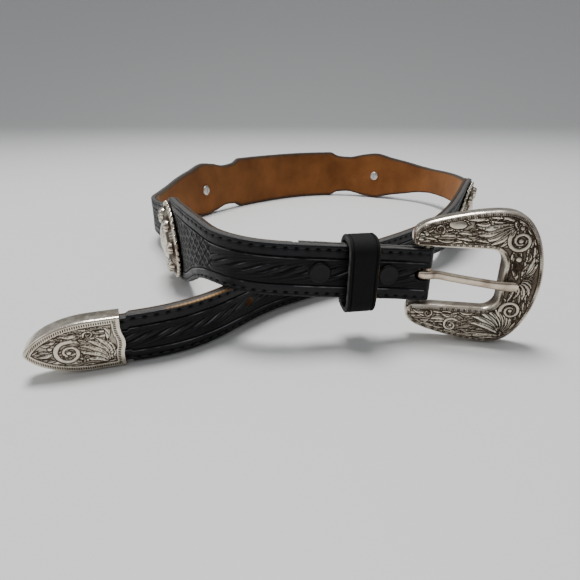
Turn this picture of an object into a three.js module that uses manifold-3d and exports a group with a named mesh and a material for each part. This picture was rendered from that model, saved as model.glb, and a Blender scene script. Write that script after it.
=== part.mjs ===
// Western concho belt, unfastened, standing on its lower edge in an open loop.
// Millimetres, +Z up. The origin is under the middle of the belt, at the height it stands on.
// The buckle is at the near right (-Y is near), the free metal tip at the near left.
import * as THREE from 'three';
import { mergeVertices } from 'three/addons/utils/BufferGeometryUtils.js';
import Module from 'manifold-3d';

const wasm = await Module();
wasm.setup();

// Driving dimensions

const GAP = 0.3; // running gap between neighbouring pieces
const RING_STEP = 7; // distance between the strap's cross-sections

// The buckle bar, where the strap's route starts, and the strap's direction of travel there.
const BAR = { x: 25.8, y: -119.1, heading: 191.3, radius: 1.1 };

// Leather. Offsets are measured outward from the middle of the strap's thickness.
const OUTER = { grain: 1.95, flesh: -0.35 };
const LINING = { front: -0.65, back: -1.95, narrower: 0.4, start: 46 };
const FLAP = { grain: -2.25, flesh: -0.65, end: 44 };
const FOLD = { radius: BAR.radius + GAP, wall: 1.1, frontWall: 2.3, flapWall: 1.6, eased: 12, steps: 8 };
const STRAP_HALF = 9.3;

// The strap's route, one row for each stretch from the bar round to the free end: its length, how
// far it turns (degrees, left is positive), and the height of its middle and its lean at its end.
const START_HEIGHT = 23.3;
const ROUTE = [
  { stretch: 'billet', length: 48, turn: -8.5, height: 27.8, lean: 3.5 },
  { stretch: 'near bend a', length: 32.5, turn: -56.5, height: 29.7, lean: 2 },
  { stretch: 'near bend b', length: 35.5, turn: -15, height: 23.2, lean: 3 },
  { stretch: 'left station', length: 32, turn: 0, height: 19, lean: 1 },
  { stretch: 'left side a', length: 36, turn: 8, height: 18.2, lean: 0 },
  { stretch: 'left side b', length: 37, turn: -33, height: 17.2, lean: 0 },
  { stretch: 'left side c', length: 38.5, turn: -21, height: 18.6, lean: -1 },
  { stretch: 'back left station', length: 33, turn: -8.5, height: 19, lean: 0 },
  { stretch: 'left neck', length: 26, turn: -8, height: 19, lean: 0 },
  { stretch: 'panel, left half', length: 44, turn: -13.5, height: 19, lean: 0 },
  { stretch: 'panel, right half', length: 44, turn: -29.5, height: 19, lean: 0 },
  { stretch: 'right neck', length: 26, turn: -25.5, height: 19, lean: 0 },
  { stretch: 'back right station', length: 35.5, turn: -10.5, height: 19, lean: 0 },
  { stretch: 'right side c', length: 39, turn: -38.5, height: 19.6, lean: 0 },
  { stretch: 'right side b', length: 39, turn: -23.5, height: 20, lean: 4 },
  { stretch: 'right side a', length: 52.5, turn: -24, height: 19.7, lean: 10 },
  { stretch: 'right station', length: 35, turn: 0, height: 19.3, lean: 10 },
  { stretch: 'tip run a', length: 44.5, turn: -26, height: 15.1, lean: 9.5 },
  { stretch: 'tip run b', length: 36.5, turn: -7.5, height: 11.7, lean: 10 },
  { stretch: 'tip run c', length: 34.5, turn: 5, height: 10, lean: 10 },
  { stretch: 'tip run d', length: 34.5, turn: 17.5, height: 10, lean: 8 },
  { stretch: 'tip bend', length: 37.5, turn: -33.5, height: 9.2, lean: 5.5 },
  { stretch: 'metal tip', length: 32, turn: 0, height: 9.12, lean: 5 },
];

// Half the strap's height by the distance from a concho's centre, on its three kinds of side.
const STATION_BEFORE_END = 17; // a concho sits this far before the end of its stretch
const TOWARD_BILLET = [
  { away: 0, half: 19 },
  { away: 15, half: 17.6 },
  { away: 27, half: 15.8 },
  { away: 40, half: 12.5 },
  { away: 59, half: 9.6 },
  { away: 88, half: STRAP_HALF },
];
const TOWARD_NECK = [
  { away: 15, half: 15.8 },
  { away: 28, half: 13.4 },
  { away: 42, half: 10.8 },
  { away: 58, half: 9.6 },
];
const TOWARD_PANEL = [
  { away: 12, half: 17.5 },
  { away: 24, half: 15.2 },
  { away: 34, half: 16 },
  { away: 41, half: 19 },
];

const HOLES = { count: 5, first: 778.5, pitch: 22, radius: 1.75 };
const SLOT = { left: -4.5, right: 6, bottom: -1.8, top: 2.6, depth: 16 };

const CONCHO = {
  rim: 17.7,
  notch: 16.6,
  beads: 36,
  rimThick: 1.6,
  bosses: 8,
  bossRing: 12.3,
  bossRadius: 2.8,
  bossTop: 4.9,
  postRadius: 2.75,
  boreRadius: 1.5,
  holeRadius: 3.05,
  postEnd: -1.6,
};
// The dome's section above the strap, from its foot to its top.
const DOME = [
  { radius: 15.9, height: 1.4 },
  { radius: 14.4, height: 2.8 },
  { radius: 11, height: 3.8 },
  { radius: 8, height: 4.2 },
  { radius: 6.2, height: 5.1 },
];
const DOME_TOP = 5.8;
const DISH = { foot: 13.4, top: 9.5, deep: 2.4 }; // the hollow of its back
const SCREW = { head: 3.5, thick: 1.2, edge: 0.5, slope: 0.15, shank: 1.2, length: 3.2 };

const SNAPS = [{ along: 37.2 }, { along: 14.1 }];
const SNAP = {
  cap: 3.6,
  capThick: 1,
  rimIn: 0.7,
  dishIn: 1.6,
  post: 1.2,
  postHole: 1.5,
  stud: 3,
  studThick: 1.2,
  studRound: 1,
};

const KEEPER = {
  from: 18.8,
  to: 28.8,
  centreHeight: 25.2,
  halfHeight: 13.3,
  front: 6.6,
  back: -6.2,
  wall: 2,
  corner: 5.2,
};

// Buckle, from the bar: x runs to the right, y up and z to the front. It is swung (degrees) about
// the upright bar, with its right side nearer.
const BUCKLE = {
  swing: -10.4,
  centreHeight: 23.4,
  front: 3.3,
  back: -1.5,
  bevel: 1.7,
  openHalf: 10.3,
  openEnd: 24.4,
  openCorner: 4.5,
};
const BUCKLE_EDGE = [
  { x: -4.6, y: 11 },
  { x: -5.1, y: 13.4 },
  { x: -4.5, y: 16 },
  { x: -2.2, y: 18.1 },
  { x: 2, y: 19.8 },
  { x: 9, y: 21.6 },
  { x: 16, y: 22.9 },
  { x: 22, y: 23.4 },
  { x: 26.6, y: 22.7 },
  { x: 30.4, y: 20.2 },
  { x: 33.6, y: 15.6 },
  { x: 35.7, y: 10.3 },
  { x: 36.8, y: 5 },
];
const BUCKLE_RIGHT = 37.2;
const ARM_TIP_INNER = -3.2; // where the arms' inner edge starts, left of the bar
const RELIEF = 0.4;
const BEHIND = { side: 90, thick: 10 }; // the block that cuts the frame's back flat
// Raised leaves on the upper half of the buckle's face, mirrored below: foot, direction (degrees),
// length, greatest width and how far they bend to the left.
const BUCKLE_LEAVES = [
  { x: 23.1, y: 19.6, angle: 172, length: 9, width: 1.8, bend: -0.8 },
  { x: 22.9, y: 19, angle: 188, length: 10.2, width: 1.9, bend: 1 },
  { x: 22.9, y: 18.4, angle: 204, length: 10.4, width: 1.8, bend: 0.8 },
  { x: 23.3, y: 17.8, angle: 225, length: 6.6, width: 1.6, bend: 0.7 },
  { x: 9.7, y: 18.4, angle: 180, length: 5.8, width: 2.4, bend: 0 },
  { x: 6.9, y: 15, angle: 178, length: 8.6, width: 1.8, bend: 0.8 },
  { x: 3.9, y: 17.4, angle: 196, length: 6.4, width: 1.6, bend: -0.7 },
  { x: 8.3, y: 13, angle: 178, length: 7.6, width: 1.5, bend: -0.5 },
  { x: 30.1, y: 2.4, angle: 62, length: 7, width: 1.7, bend: -0.8 },
  { x: 29.5, y: 2.9, angle: 84, length: 7, width: 1.6, bend: -0.8 },
  { x: 30.5, y: 1.8, angle: 42, length: 3.6, width: 1.4, bend: -0.4 },
  { x: 25.7, y: 20.2, angle: -28, length: 5.4, width: 1.5, bend: -0.8 },
];
const BUCKLE_CURL = { x: 27.7, y: 13.8, inner: 1.2, outer: 3.5, turns: 1.25, start: 200, width: 1 };

// Prong, in the buckle's axes.
const PRONG = {
  loop: 3.7,
  rootLow: 0.5, // the shank leaves the loop between these, level with its front half
  rootHigh: 2.3,
  half: 1.5,
  middle: 0.35,
  drop: 1.65,
  tip: 29.6,
  flatFrom: 23.4,
  thick: 2,
  tipThick: 1.2,
  round: 0.35,
};

// Metal tip, from the middle of its open end: x runs to the right, so it reaches to -length.
const TIP = { length: 28, half: 9, thick: 5.9, wall: 0.7, arch: 20, spread: 2.2, swell: 0.7, bevel: 0.6 };
const TIP_MOUTH = [
  { x: 0, y: 9 },
  { x: -0.2, y: 5.4 },
  { x: 0, y: 3.4 },
  { x: 0.7, y: 1 },
];
const PAST_MOUTH = 4; // how far the hollow's cutter comes out of the open end
const TIP_LEAVES = [
  { x: -4.4, y: -3.4, angle: 118, length: 7.4, width: 2, bend: -1.4 },
  { x: -5.2, y: -3.8, angle: 142, length: 9.6, width: 2.1, bend: -1.8 },
  { x: -6.2, y: -4.4, angle: 160, length: 9.4, width: 2, bend: 1.2 },
  { x: -6.6, y: -5.8, angle: 178, length: 8, width: 1.6, bend: 0.9 },
  { x: -3.4, y: -1.6, angle: 92, length: 6, width: 1.7, bend: -0.9 },
  { x: -20.6, y: 2.6, angle: 205, length: 4, width: 1.5, bend: 0.7 },
  { x: -20.6, y: -3.2, angle: 160, length: 3.6, width: 1.4, bend: -0.6 },
];
const TIP_CURL = { x: -15.6, y: -2.4, inner: 1.1, outer: 4, turns: 1.3, start: 40, width: 1.1 };

// Finishes
const BLACK_LEATHER = { color: 0x17161a, roughness: 0.45, metalness: 0 };
const BROWN_SUEDE = { color: 0x74431c, roughness: 0.95, metalness: 0 };
const NICKEL_SILVER = { color: 0xb4ada0, roughness: 0.35, metalness: 1 };
const PRONG_METAL = { color: 0xc2b29c, roughness: 0.3, metalness: 1 };
const SCREW_METAL = { color: 0xc9c8c4, roughness: 0.3, metalness: 1 };
const BLACK_ENAMEL = { color: 0x101012, roughness: 0.35, metalness: 0.2 };

const radians = THREE.MathUtils.degToRad;

// Smooth curve through a table that never overshoots its rows (monotone cubic).
function monotone(knots, values) {
  const last = knots.length - 1;
  const width = knots.slice(1).map((knot, i) => knot - knots[i]);
  const slope = width.map((w, i) => (values[i + 1] - values[i]) / w);
  const endSlope = (w0, w1, m0, m1) => {
    const d = ((2 * w0 + w1) * m0 - w0 * m1) / (w0 + w1);
    if (Math.sign(d) !== Math.sign(m0)) return 0;
    return Math.sign(m0) !== Math.sign(m1) && Math.abs(d) > 3 * Math.abs(m0) ? 3 * m0 : d;
  };
  const tangent = knots.map((_, i) => {
    if (i === 0) return endSlope(width[0], width[1], slope[0], slope[1]);
    if (i === last) {
      return endSlope(width[last - 1], width[last - 2], slope[last - 1], slope[last - 2]);
    }
    if (slope[i - 1] * slope[i] <= 0) return 0;
    const w1 = 2 * width[i] + width[i - 1];
    const w2 = width[i] + 2 * width[i - 1];
    return (w1 + w2) / (w1 / slope[i - 1] + w2 / slope[i]);
  });
  return (s) => {
    const at = THREE.MathUtils.clamp(s, knots[0], knots[last]);
    const after = knots.findIndex((knot) => knot >= at);
    const i = Math.max(after, 1) - 1;
    const t = (at - knots[i]) / width[i];
    const rise = values[i] + t * width[i] * tangent[i];
    const bend = 3 * slope[i] - 2 * tangent[i] - tangent[i + 1];
    const twist = tangent[i] + tangent[i + 1] - 2 * slope[i];
    return rise + t * t * width[i] * (bend + t * twist);
  };
}

// The strap's route

const ends = [0];
const headings = [BAR.heading];
ROUTE.forEach((row) => {
  ends.push(ends.at(-1) + row.length);
  headings.push(headings.at(-1) + row.turn);
});
const TOTAL = ends.at(-1);
const headingAt = monotone(ends, headings);
const heightAt = monotone(ends, [START_HEIGHT, ...ROUTE.map((row) => row.height)]);
const leanAt = monotone(ends, [0, ...ROUTE.map((row) => row.lean)]);

const stations = ROUTE.map((row, i) => ({ ...row, at: ends[i + 1] - STATION_BEFORE_END }))
  .filter((row) => row.stretch.endsWith('station'))
  .map((row) => row.at);

const TRACE_STEP = 1;
const trace = [{ x: BAR.x, y: BAR.y }];
for (let s = TRACE_STEP / 2; s < TOTAL; s += TRACE_STEP) {
  const angle = radians(headingAt(s));
  const { x, y } = trace.at(-1);
  trace.push({ x: x + TRACE_STEP * Math.cos(angle), y: y + TRACE_STEP * Math.sin(angle) });
}

function halfWidths() {
  const [left, backLeft, backRight, right] = stations;
  const from = (centre, side, rows) => {
    return rows.map(({ away, half }) => ({ at: centre + side * away, half }));
  };
  const knots = [
    { at: 0, half: STRAP_HALF },
    ...from(left, -1, TOWARD_BILLET),
    ...from(left, 1, TOWARD_NECK),
    ...from(backLeft, -1, TOWARD_NECK),
    { at: backLeft, half: TOWARD_BILLET[0].half },
    ...from(backLeft, 1, TOWARD_PANEL),
    ...from(backRight, -1, TOWARD_PANEL),
    { at: backRight, half: TOWARD_BILLET[0].half },
    ...from(backRight, 1, TOWARD_NECK),
    ...from(right, -1, TOWARD_NECK),
    ...from(right, 1, TOWARD_BILLET),
    { at: TOTAL - 70, half: STRAP_HALF },
    { at: TOTAL - TIP.length, half: TIP.half - GAP },
  ].sort((a, b) => a.at - b.at);
  return monotone(knots.map((knot) => knot.at), knots.map((knot) => knot.half));
}

// Half the metal tip's height at a distance from its point.
function tipHalf(fromPoint) {
  const d = THREE.MathUtils.clamp(fromPoint, 0, TIP.arch) / TIP.arch;
  return TIP.half * (1 - (1 - d) ** TIP.spread) ** TIP.swell;
}

const bodyHalf = halfWidths();
function halfAt(s) {
  const insideTip = tipHalf(TOTAL - s - TIP.wall - GAP) - TIP.wall - GAP;
  return s > TOTAL - TIP.length - 2 ? Math.min(bodyHalf(s), insideTip) : bodyHalf(s);
}

function directions(s) {
  const heading = radians(headingAt(s));
  const lean = radians(leanAt(s));
  const outward = new THREE.Vector3(-Math.sin(heading), Math.cos(heading), 0);
  const up = new THREE.Vector3(0, 0, 1);
  const y = up.clone().multiplyScalar(Math.cos(lean)).addScaledVector(outward, Math.sin(lean));
  const z = outward.clone().multiplyScalar(Math.cos(lean)).addScaledVector(up, -Math.sin(lean));
  return { x: y.clone().cross(z), y, z };
}

// A point of the strap: s along the route, out from its middle, up from its centre line.
function place(s, out = 0, up = 0) {
  const i = Math.min(Math.floor(s / TRACE_STEP), trace.length - 2);
  const t = s / TRACE_STEP - i;
  const x = trace[i].x + t * (trace[i + 1].x - trace[i].x);
  const y = trace[i].y + t * (trace[i + 1].y - trace[i].y);
  const axes = directions(s);
  return new THREE.Vector3(x, y, heightAt(s)).addScaledVector(axes.z, out).addScaledVector(axes.y, up);
}

// Local axes on the strap: x to the right seen from outside, y up and z outward.
function stationMatrix(s, out = 0, up = 0) {
  const { x, y, z } = directions(s);
  return new THREE.Matrix4().makeBasis(x, y, z).setPosition(place(s, out, up));
}

// Solids

function merged(geometry) {
  const bare = geometry.index ? geometry.clone() : geometry;
  ['normal', 'uv', 'uv1'].forEach((name) => bare.deleteAttribute(name));
  return mergeVertices(bare, 1e-4);
}

function solid(geometry) {
  const bare = merged(geometry);
  const vertProperties = new Float32Array(bare.attributes.position.array);
  const triVerts = new Uint32Array(bare.index.array);
  return new wasm.Manifold(new wasm.Mesh({ numProp: 3, vertProperties, triVerts }));
}

function geometryOf(manifold) {
  const mesh = manifold.getMesh();
  const geometry = new THREE.BufferGeometry();
  geometry.setAttribute('position', new THREE.BufferAttribute(Float32Array.from(mesh.vertProperties), 3));
  geometry.setIndex(new THREE.BufferAttribute(Uint32Array.from(mesh.triVerts), 1));
  return geometry;
}

function joined(geometries) {
  return geometries.map(solid).reduce((sum, next) => sum.add(next));
}

function without(manifold, geometries) {
  return geometries.map(solid).reduce((rest, cut) => rest.subtract(cut), manifold);
}

// A closed body through rings of points that all have the same count, with flat ends.
function sweep(rings) {
  const count = rings[0].length;
  const position = rings.flat().flatMap((point) => point.toArray());
  const index = [];
  for (let i = 0; i + 1 < rings.length; i += 1) {
    for (let j = 0; j < count; j += 1) {
      const a = i * count + j;
      const b = i * count + ((j + 1) % count);
      index.push(a, a + count, b, b, a + count, b + count);
    }
  }
  const end = (rings.length - 1) * count;
  for (let j = 1; j + 1 < count; j += 1) {
    index.push(0, j, j + 1);
    index.push(end, end + j + 1, end + j);
  }
  const geometry = new THREE.BufferGeometry();
  geometry.setAttribute('position', new THREE.Float32BufferAttribute(position, 3));
  geometry.setIndex(index);
  return geometry;
}

// A round pin or hole cutter on the local z axis.
function rod(radius, from, to, sides = 12) {
  const geometry = new THREE.CylinderGeometry(radius, radius, to - from, sides);
  geometry.rotateX(Math.PI / 2);
  geometry.translate(0, 0, (from + to) / 2);
  return geometry;
}

// A round body about the local z axis, from its radii and heights.
function lathe(profile, sides) {
  const points = profile.map(([radius, height]) => new THREE.Vector2(radius, height));
  const geometry = new THREE.LatheGeometry(points, sides);
  geometry.rotateX(Math.PI / 2);
  return geometry;
}

function extruded(shape, from, to, options = {}) {
  const bevel = options.bevelThickness ?? 0;
  const geometry = new THREE.ExtrudeGeometry(shape, {
    depth: to - from - 2 * bevel,
    bevelEnabled: bevel > 0,
    curveSegments: 4,
    ...options,
  });
  geometry.translate(0, 0, from + bevel);
  return geometry;
}

// A raised leaf: pointed at both ends, widest nearer its foot, bent to one side.
function leaf({ x, y, angle, length, width, bend }, from, to) {
  const shape = new THREE.Shape();
  shape.moveTo(0, 0);
  shape.quadraticCurveTo(length * 0.35, bend + width, length, 0);
  shape.quadraticCurveTo(length * 0.4, bend - width * 0.4, 0, 0);
  const geometry = extruded(shape, from, to, { curveSegments: 3 });
  geometry.rotateZ(radians(angle));
  geometry.translate(x, y, 0);
  return geometry;
}

// A raised spiral ridge.
function curl({ x, y, inner, outer, turns, start, width }, from, to) {
  const steps = Math.round(turns * 12);
  const rim = (offset) => (i) => {
    const t = i / steps;
    const angle = radians(start + 360 * turns * t);
    const r = outer + (inner - outer) * t + offset * width * (1 - 0.5 * t);
    return new THREE.Vector2(x + r * Math.cos(angle), y + r * Math.sin(angle));
  };
  const along = Array.from({ length: steps + 1 }, (_, i) => i);
  const shape = new THREE.Shape([...along.map(rim(0.5)), ...along.map(rim(-0.5)).reverse()]);
  return extruded(shape, from, to);
}

// The same shape below the middle line, with its faces turned so that they still point out.
function mirrored(geometry) {
  const copy = merged(geometry).scale(1, -1, 1);
  const order = copy.index.array;
  for (let i = 0; i < order.length; i += 3) {
    const second = order[i + 1];
    order[i + 1] = order[i + 2];
    order[i + 2] = second;
  }
  return copy;
}

const belt = new THREE.Group();

function piece(name, geometry, finish, matrix) {
  const mesh = new THREE.Mesh(geometry, new THREE.MeshStandardMaterial(finish));
  mesh.name = name;
  if (matrix) mesh.applyMatrix4(matrix);
  belt.add(mesh);
}

// Strap and lining

// The distances of the cross-sections, so many that none is further apart than the step.
function distances(from, to) {
  const count = Math.ceil((to - from) / RING_STEP);
  return Array.from({ length: count + 1 }, (_, i) => from + ((to - from) * i) / count);
}

// How far the fold bulges at s, 1 at the bar and 0 where the layers lie flat again.
function bulge(s) {
  return 1 - THREE.MathUtils.smoothstep(s, 0, FOLD.eased);
}

function layerRing(s, grain, flesh, half) {
  return [place(s, grain, half), place(s, grain, -half), place(s, flesh, -half), place(s, flesh, half)];
}

function flapRing(s) {
  const flesh = THREE.MathUtils.lerp(FLAP.flesh, -FOLD.radius, bulge(s));
  const wall = THREE.MathUtils.lerp(FOLD.flapWall, FOLD.wall, bulge(s));
  return layerRing(s, flesh - wall, flesh, halfAt(s));
}

function frontRing(s) {
  const flesh = THREE.MathUtils.lerp(OUTER.flesh, FOLD.radius, bulge(s));
  const wall = THREE.MathUtils.lerp(FOLD.frontWall, FOLD.wall, bulge(s));
  return layerRing(s, flesh + wall, flesh, halfAt(s));
}

// The leather round the bar, from behind it (-90 degrees) to in front of it (+90 degrees).
function foldRing(degrees) {
  const { x, z } = directions(0);
  const toward = x.clone().multiplyScalar(Math.cos(radians(degrees)));
  toward.addScaledVector(z, Math.sin(radians(degrees)));
  const at = (radius, up) => place(0, 0, up).addScaledVector(toward, radius);
  const half = halfAt(0);
  return [
    at(FOLD.radius + FOLD.wall, half),
    at(FOLD.radius + FOLD.wall, -half),
    at(FOLD.radius, -half),
    at(FOLD.radius, half),
  ];
}

function stadium(left, right, bottom, top) {
  const radius = (top - bottom) / 2;
  const shape = new THREE.Shape();
  shape.moveTo(right, top);
  shape.lineTo(left + radius, top);
  shape.absarc(left + radius, bottom + radius, radius, Math.PI / 2, (3 * Math.PI) / 2, false);
  shape.lineTo(right, bottom);
  return shape;
}

const PUNCH = { reach: 6, sides: 10 }; // how far a cutter passes the strap's middle
function throughStrap(s, radius) {
  return rod(radius, -PUNCH.reach, PUNCH.reach, PUNCH.sides).applyMatrix4(stationMatrix(s));
}

const STRAP_END = TOTAL - TIP.wall - GAP - 1;
const LAST_STEP = 2.2; // an extra section where the strap's point rounds off
const FOLD_STEP = 2;
const AFTER_FOLD = 4; // from the fold's last section to the next one
const beforeTip = distances(0, TOTAL - TIP.length);
const inTip = distances(TOTAL - TIP.length, STRAP_END).slice(1);
const tipRun = [...inTip, STRAP_END - LAST_STEP].sort((a, b) => a - b);
const nearFold = Array.from({ length: FOLD.eased / FOLD_STEP + 1 }, (_, i) => i * FOLD_STEP);
const frontRun = [...nearFold, ...beforeTip.filter((s) => s > FOLD.eased + 1), ...tipRun];
const flapRun = [...nearFold, ...distances(FOLD.eased + AFTER_FOLD, FLAP.end)];
const foldTurn = 180 / FOLD.steps;
const foldSteps = Array.from({ length: FOLD.steps - 1 }, (_, i) => -90 + foldTurn * (i + 1));

const holes = Array.from({ length: HOLES.count }, (_, i) => HOLES.first - i * HOLES.pitch);
const holeCuts = holes.map((s) => throughStrap(s, HOLES.radius));
const postCuts = stations.map((s) => throughStrap(s, CONCHO.holeRadius));
const snapCuts = SNAPS.map((snap) => throughStrap(snap.along, SNAP.postHole));
const slotShape = stadium(SLOT.left, SLOT.right, SLOT.bottom, SLOT.top);
const slotCut = extruded(slotShape, -SLOT.depth / 2, SLOT.depth / 2).applyMatrix4(stationMatrix(0));

const flapRings = flapRun.toReversed().map(flapRing);
const strapBody = sweep([...flapRings, ...foldSteps.map(foldRing), ...frontRun.map(frontRing)]);
const strap = without(solid(strapBody), [...holeCuts, ...postCuts, ...snapCuts, slotCut]);
piece('strap', geometryOf(strap), BLACK_LEATHER);

const liningRun = [LINING.start, ...frontRun.filter((s) => s > LINING.start + 1)];
const liningRing = (s) => layerRing(s, LINING.front, LINING.back, halfAt(s) - LINING.narrower);
const liningBody = sweep(liningRun.map(liningRing));
const lining = without(solid(liningBody), [...holeCuts, ...postCuts]);
piece('lining', geometryOf(lining), BROWN_SUEDE);

// Keeper

function roundedRect(left, right, bottom, top, corner) {
  const shape = new THREE.Shape();
  shape.moveTo(left + corner, bottom);
  shape.lineTo(right - corner, bottom);
  shape.absarc(right - corner, bottom + corner, corner, -Math.PI / 2, 0, false);
  shape.lineTo(right, top - corner);
  shape.absarc(right - corner, top - corner, corner, 0, Math.PI / 2, false);
  shape.lineTo(left + corner, top);
  shape.absarc(left + corner, top - corner, corner, Math.PI / 2, Math.PI, false);
  shape.lineTo(left, bottom + corner);
  shape.absarc(left + corner, bottom + corner, corner, Math.PI, 1.5 * Math.PI, false);
  return shape;
}

const { wall, corner } = KEEPER;
const outer = KEEPER.halfHeight;
const inner = outer - wall;
const keeperShape = roundedRect(KEEPER.back, KEEPER.front, -outer, outer, corner);
keeperShape.holes.push(roundedRect(KEEPER.back + wall, KEEPER.front - wall, -inner, inner, corner - wall));
const keeperHalf = (KEEPER.to - KEEPER.from) / 2;
const keeperBody = extruded(keeperShape, -keeperHalf, keeperHalf);
keeperBody.rotateY(-Math.PI / 2);
const keeperAt = (KEEPER.from + KEEPER.to) / 2;
const keeperUp = KEEPER.centreHeight - heightAt(keeperAt);
piece('keeper', merged(keeperBody), BLACK_LEATHER, stationMatrix(keeperAt, 0, keeperUp));

// Snaps: a low cap in front with its post through the fold, a stud behind the flap

const capFoot = OUTER.grain + GAP;
const capProfile = [
  [0, FLAP.grain],
  [SNAP.post, FLAP.grain],
  [SNAP.post, capFoot],
  [SNAP.cap, capFoot],
  [SNAP.cap, capFoot + 0.5 * SNAP.capThick],
  [SNAP.cap - SNAP.rimIn, capFoot + 0.9 * SNAP.capThick],
  [SNAP.cap - SNAP.dishIn, capFoot + 0.8 * SNAP.capThick],
  [0, capFoot + SNAP.capThick],
];
const studBack = FLAP.grain - GAP - SNAP.studThick;
const studProfile = [
  [0, studBack],
  [SNAP.stud - SNAP.studRound, studBack],
  [SNAP.stud, studBack + 0.5 * SNAP.studRound],
  [SNAP.stud, FLAP.grain - GAP],
  [0, FLAP.grain - GAP],
];
SNAPS.forEach((snap, i) => {
  const matrix = stationMatrix(snap.along);
  piece(`snap_cap_${i + 1}`, merged(lathe(capProfile, 12)), BLACK_ENAMEL, matrix);
  piece(`snap_stud_${i + 1}`, merged(lathe(studProfile, 10)), SCREW_METAL, matrix);
});

// Conchos and the screws that hold them

function rimShape() {
  const shape = new THREE.Shape();
  const perBead = 2;
  const count = CONCHO.beads * perBead;
  for (let i = 0; i < count; i += 1) {
    const angle = (2 * Math.PI * i) / count;
    const radius = i % perBead === 0 ? CONCHO.notch : CONCHO.rim;
    const x = radius * Math.cos(angle);
    const y = radius * Math.sin(angle);
    if (i === 0) shape.moveTo(x, y);
    else shape.lineTo(x, y);
  }
  return shape;
}

function conchoGeometry() {
  const foot = OUTER.grain + GAP;
  const rim = extruded(rimShape(), foot, foot + CONCHO.rimThick);
  const outside = DOME.map((row) => [row.radius, foot + row.height]);
  const domeFoot = [
    [0, foot + 1],
    [DOME[0].radius, foot + 1],
  ];
  const dome = lathe([...domeFoot, ...outside, [0, foot + DOME_TOP]], 20);
  const dishProfile = [
    [0, foot - 1],
    [DISH.foot, foot - 1],
    [DISH.foot, foot],
    [DISH.top, foot + DISH.deep],
    [0, foot + DISH.deep],
  ];
  const dish = lathe(dishProfile, 12);
  const post = rod(CONCHO.postRadius, CONCHO.postEnd, foot + DISH.deep + 0.5, 10);
  const bosses = Array.from({ length: CONCHO.bosses }, (_, i) => {
    const top = foot + CONCHO.bossTop;
    const boss = lathe(
      [
        [0, foot + 1],
        [CONCHO.bossRadius, foot + 1],
        [CONCHO.bossRadius, top - 0.8],
        [0, top],
      ],
      8,
    );
    boss.translate(CONCHO.bossRing, 0, 0);
    boss.rotateZ((2 * Math.PI * i) / CONCHO.bosses);
    return boss;
  });
  const shell = without(joined([rim, dome, ...bosses]), [dish]);
  const bore = rod(CONCHO.boreRadius, CONCHO.postEnd - 1, foot, 8);
  return geometryOf(without(shell.add(solid(post)), [bore]));
}

function screwGeometry() {
  const under = LINING.back - GAP;
  const back = under - SCREW.thick;
  const profile = [
    [0, back],
    [SCREW.head - SCREW.thick, back + SCREW.slope],
    [SCREW.head, back + SCREW.thick - SCREW.edge],
    [SCREW.head, under],
    [SCREW.shank, under],
    [SCREW.shank, under + SCREW.length],
    [0, under + SCREW.length],
  ];
  return merged(lathe(profile, 10));
}

const conchoBody = conchoGeometry();
const screwBody = screwGeometry();
stations.forEach((s, i) => {
  piece(`concho_${i + 1}`, conchoBody, NICKEL_SILVER, stationMatrix(s));
  piece(`concho_screw_${i + 1}`, screwBody, SCREW_METAL, stationMatrix(s));
});

// Buckle: a frame open to the left between its two arms, with the bar across them

function buckleShape() {
  const { openHalf, openEnd, openCorner } = BUCKLE;
  const round = openEnd - openCorner;
  const upper = BUCKLE_EDGE.map(({ x, y }) => new THREE.Vector2(x, y));
  const lower = BUCKLE_EDGE.toReversed().map(({ x, y }) => new THREE.Vector2(x, -y));
  const shape = new THREE.Shape();
  shape.moveTo(ARM_TIP_INNER, openHalf);
  shape.splineThru([...upper, new THREE.Vector2(BUCKLE_RIGHT, 0), ...lower]);
  shape.lineTo(ARM_TIP_INNER, -openHalf);
  shape.lineTo(round, -openHalf);
  shape.absarc(round, openCorner - openHalf, openCorner, -Math.PI / 2, 0, false);
  shape.lineTo(openEnd, openHalf - openCorner);
  shape.absarc(round, openHalf - openCorner, openCorner, 0, Math.PI / 2, false);
  return shape;
}

function buckleGeometry() {
  const { front, back, bevel, openHalf } = BUCKLE;
  const frame = extruded(buckleShape(), back - bevel, front, {
    curveSegments: 2,
    bevelThickness: bevel,
    bevelSize: bevel,
    bevelOffset: -bevel,
    bevelSegments: 2,
  });
  const behind = new THREE.BoxGeometry(BEHIND.side, BEHIND.side, BEHIND.thick);
  behind.translate(0, 0, back - BEHIND.thick / 2);
  const bar = rod(BAR.radius, -openHalf - 2, openHalf + 2, 16);
  bar.rotateX(Math.PI / 2);
  const leaves = BUCKLE_LEAVES.map((row) => leaf(row, front - 0.8, front + RELIEF));
  const scroll = curl(BUCKLE_CURL, front - 0.8, front + RELIEF);
  const raised = [...leaves, scroll];
  const plain = without(solid(frame), [behind]);
  return geometryOf(plain.add(joined([bar, ...raised, ...raised.map(mirrored)])));
}

const buckleMatrix = new THREE.Matrix4()
  .makeBasis(new THREE.Vector3(1, 0, 0), new THREE.Vector3(0, 0, 1), new THREE.Vector3(0, -1, 0))
  .premultiply(new THREE.Matrix4().makeRotationZ(radians(BUCKLE.swing)))
  .setPosition(BAR.x, BAR.y, BUCKLE.centreHeight);
piece('buckle', buckleGeometry(), NICKEL_SILVER, buckleMatrix);

// Prong: a loop round the bar and a shank that rests on the buckle's face

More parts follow.
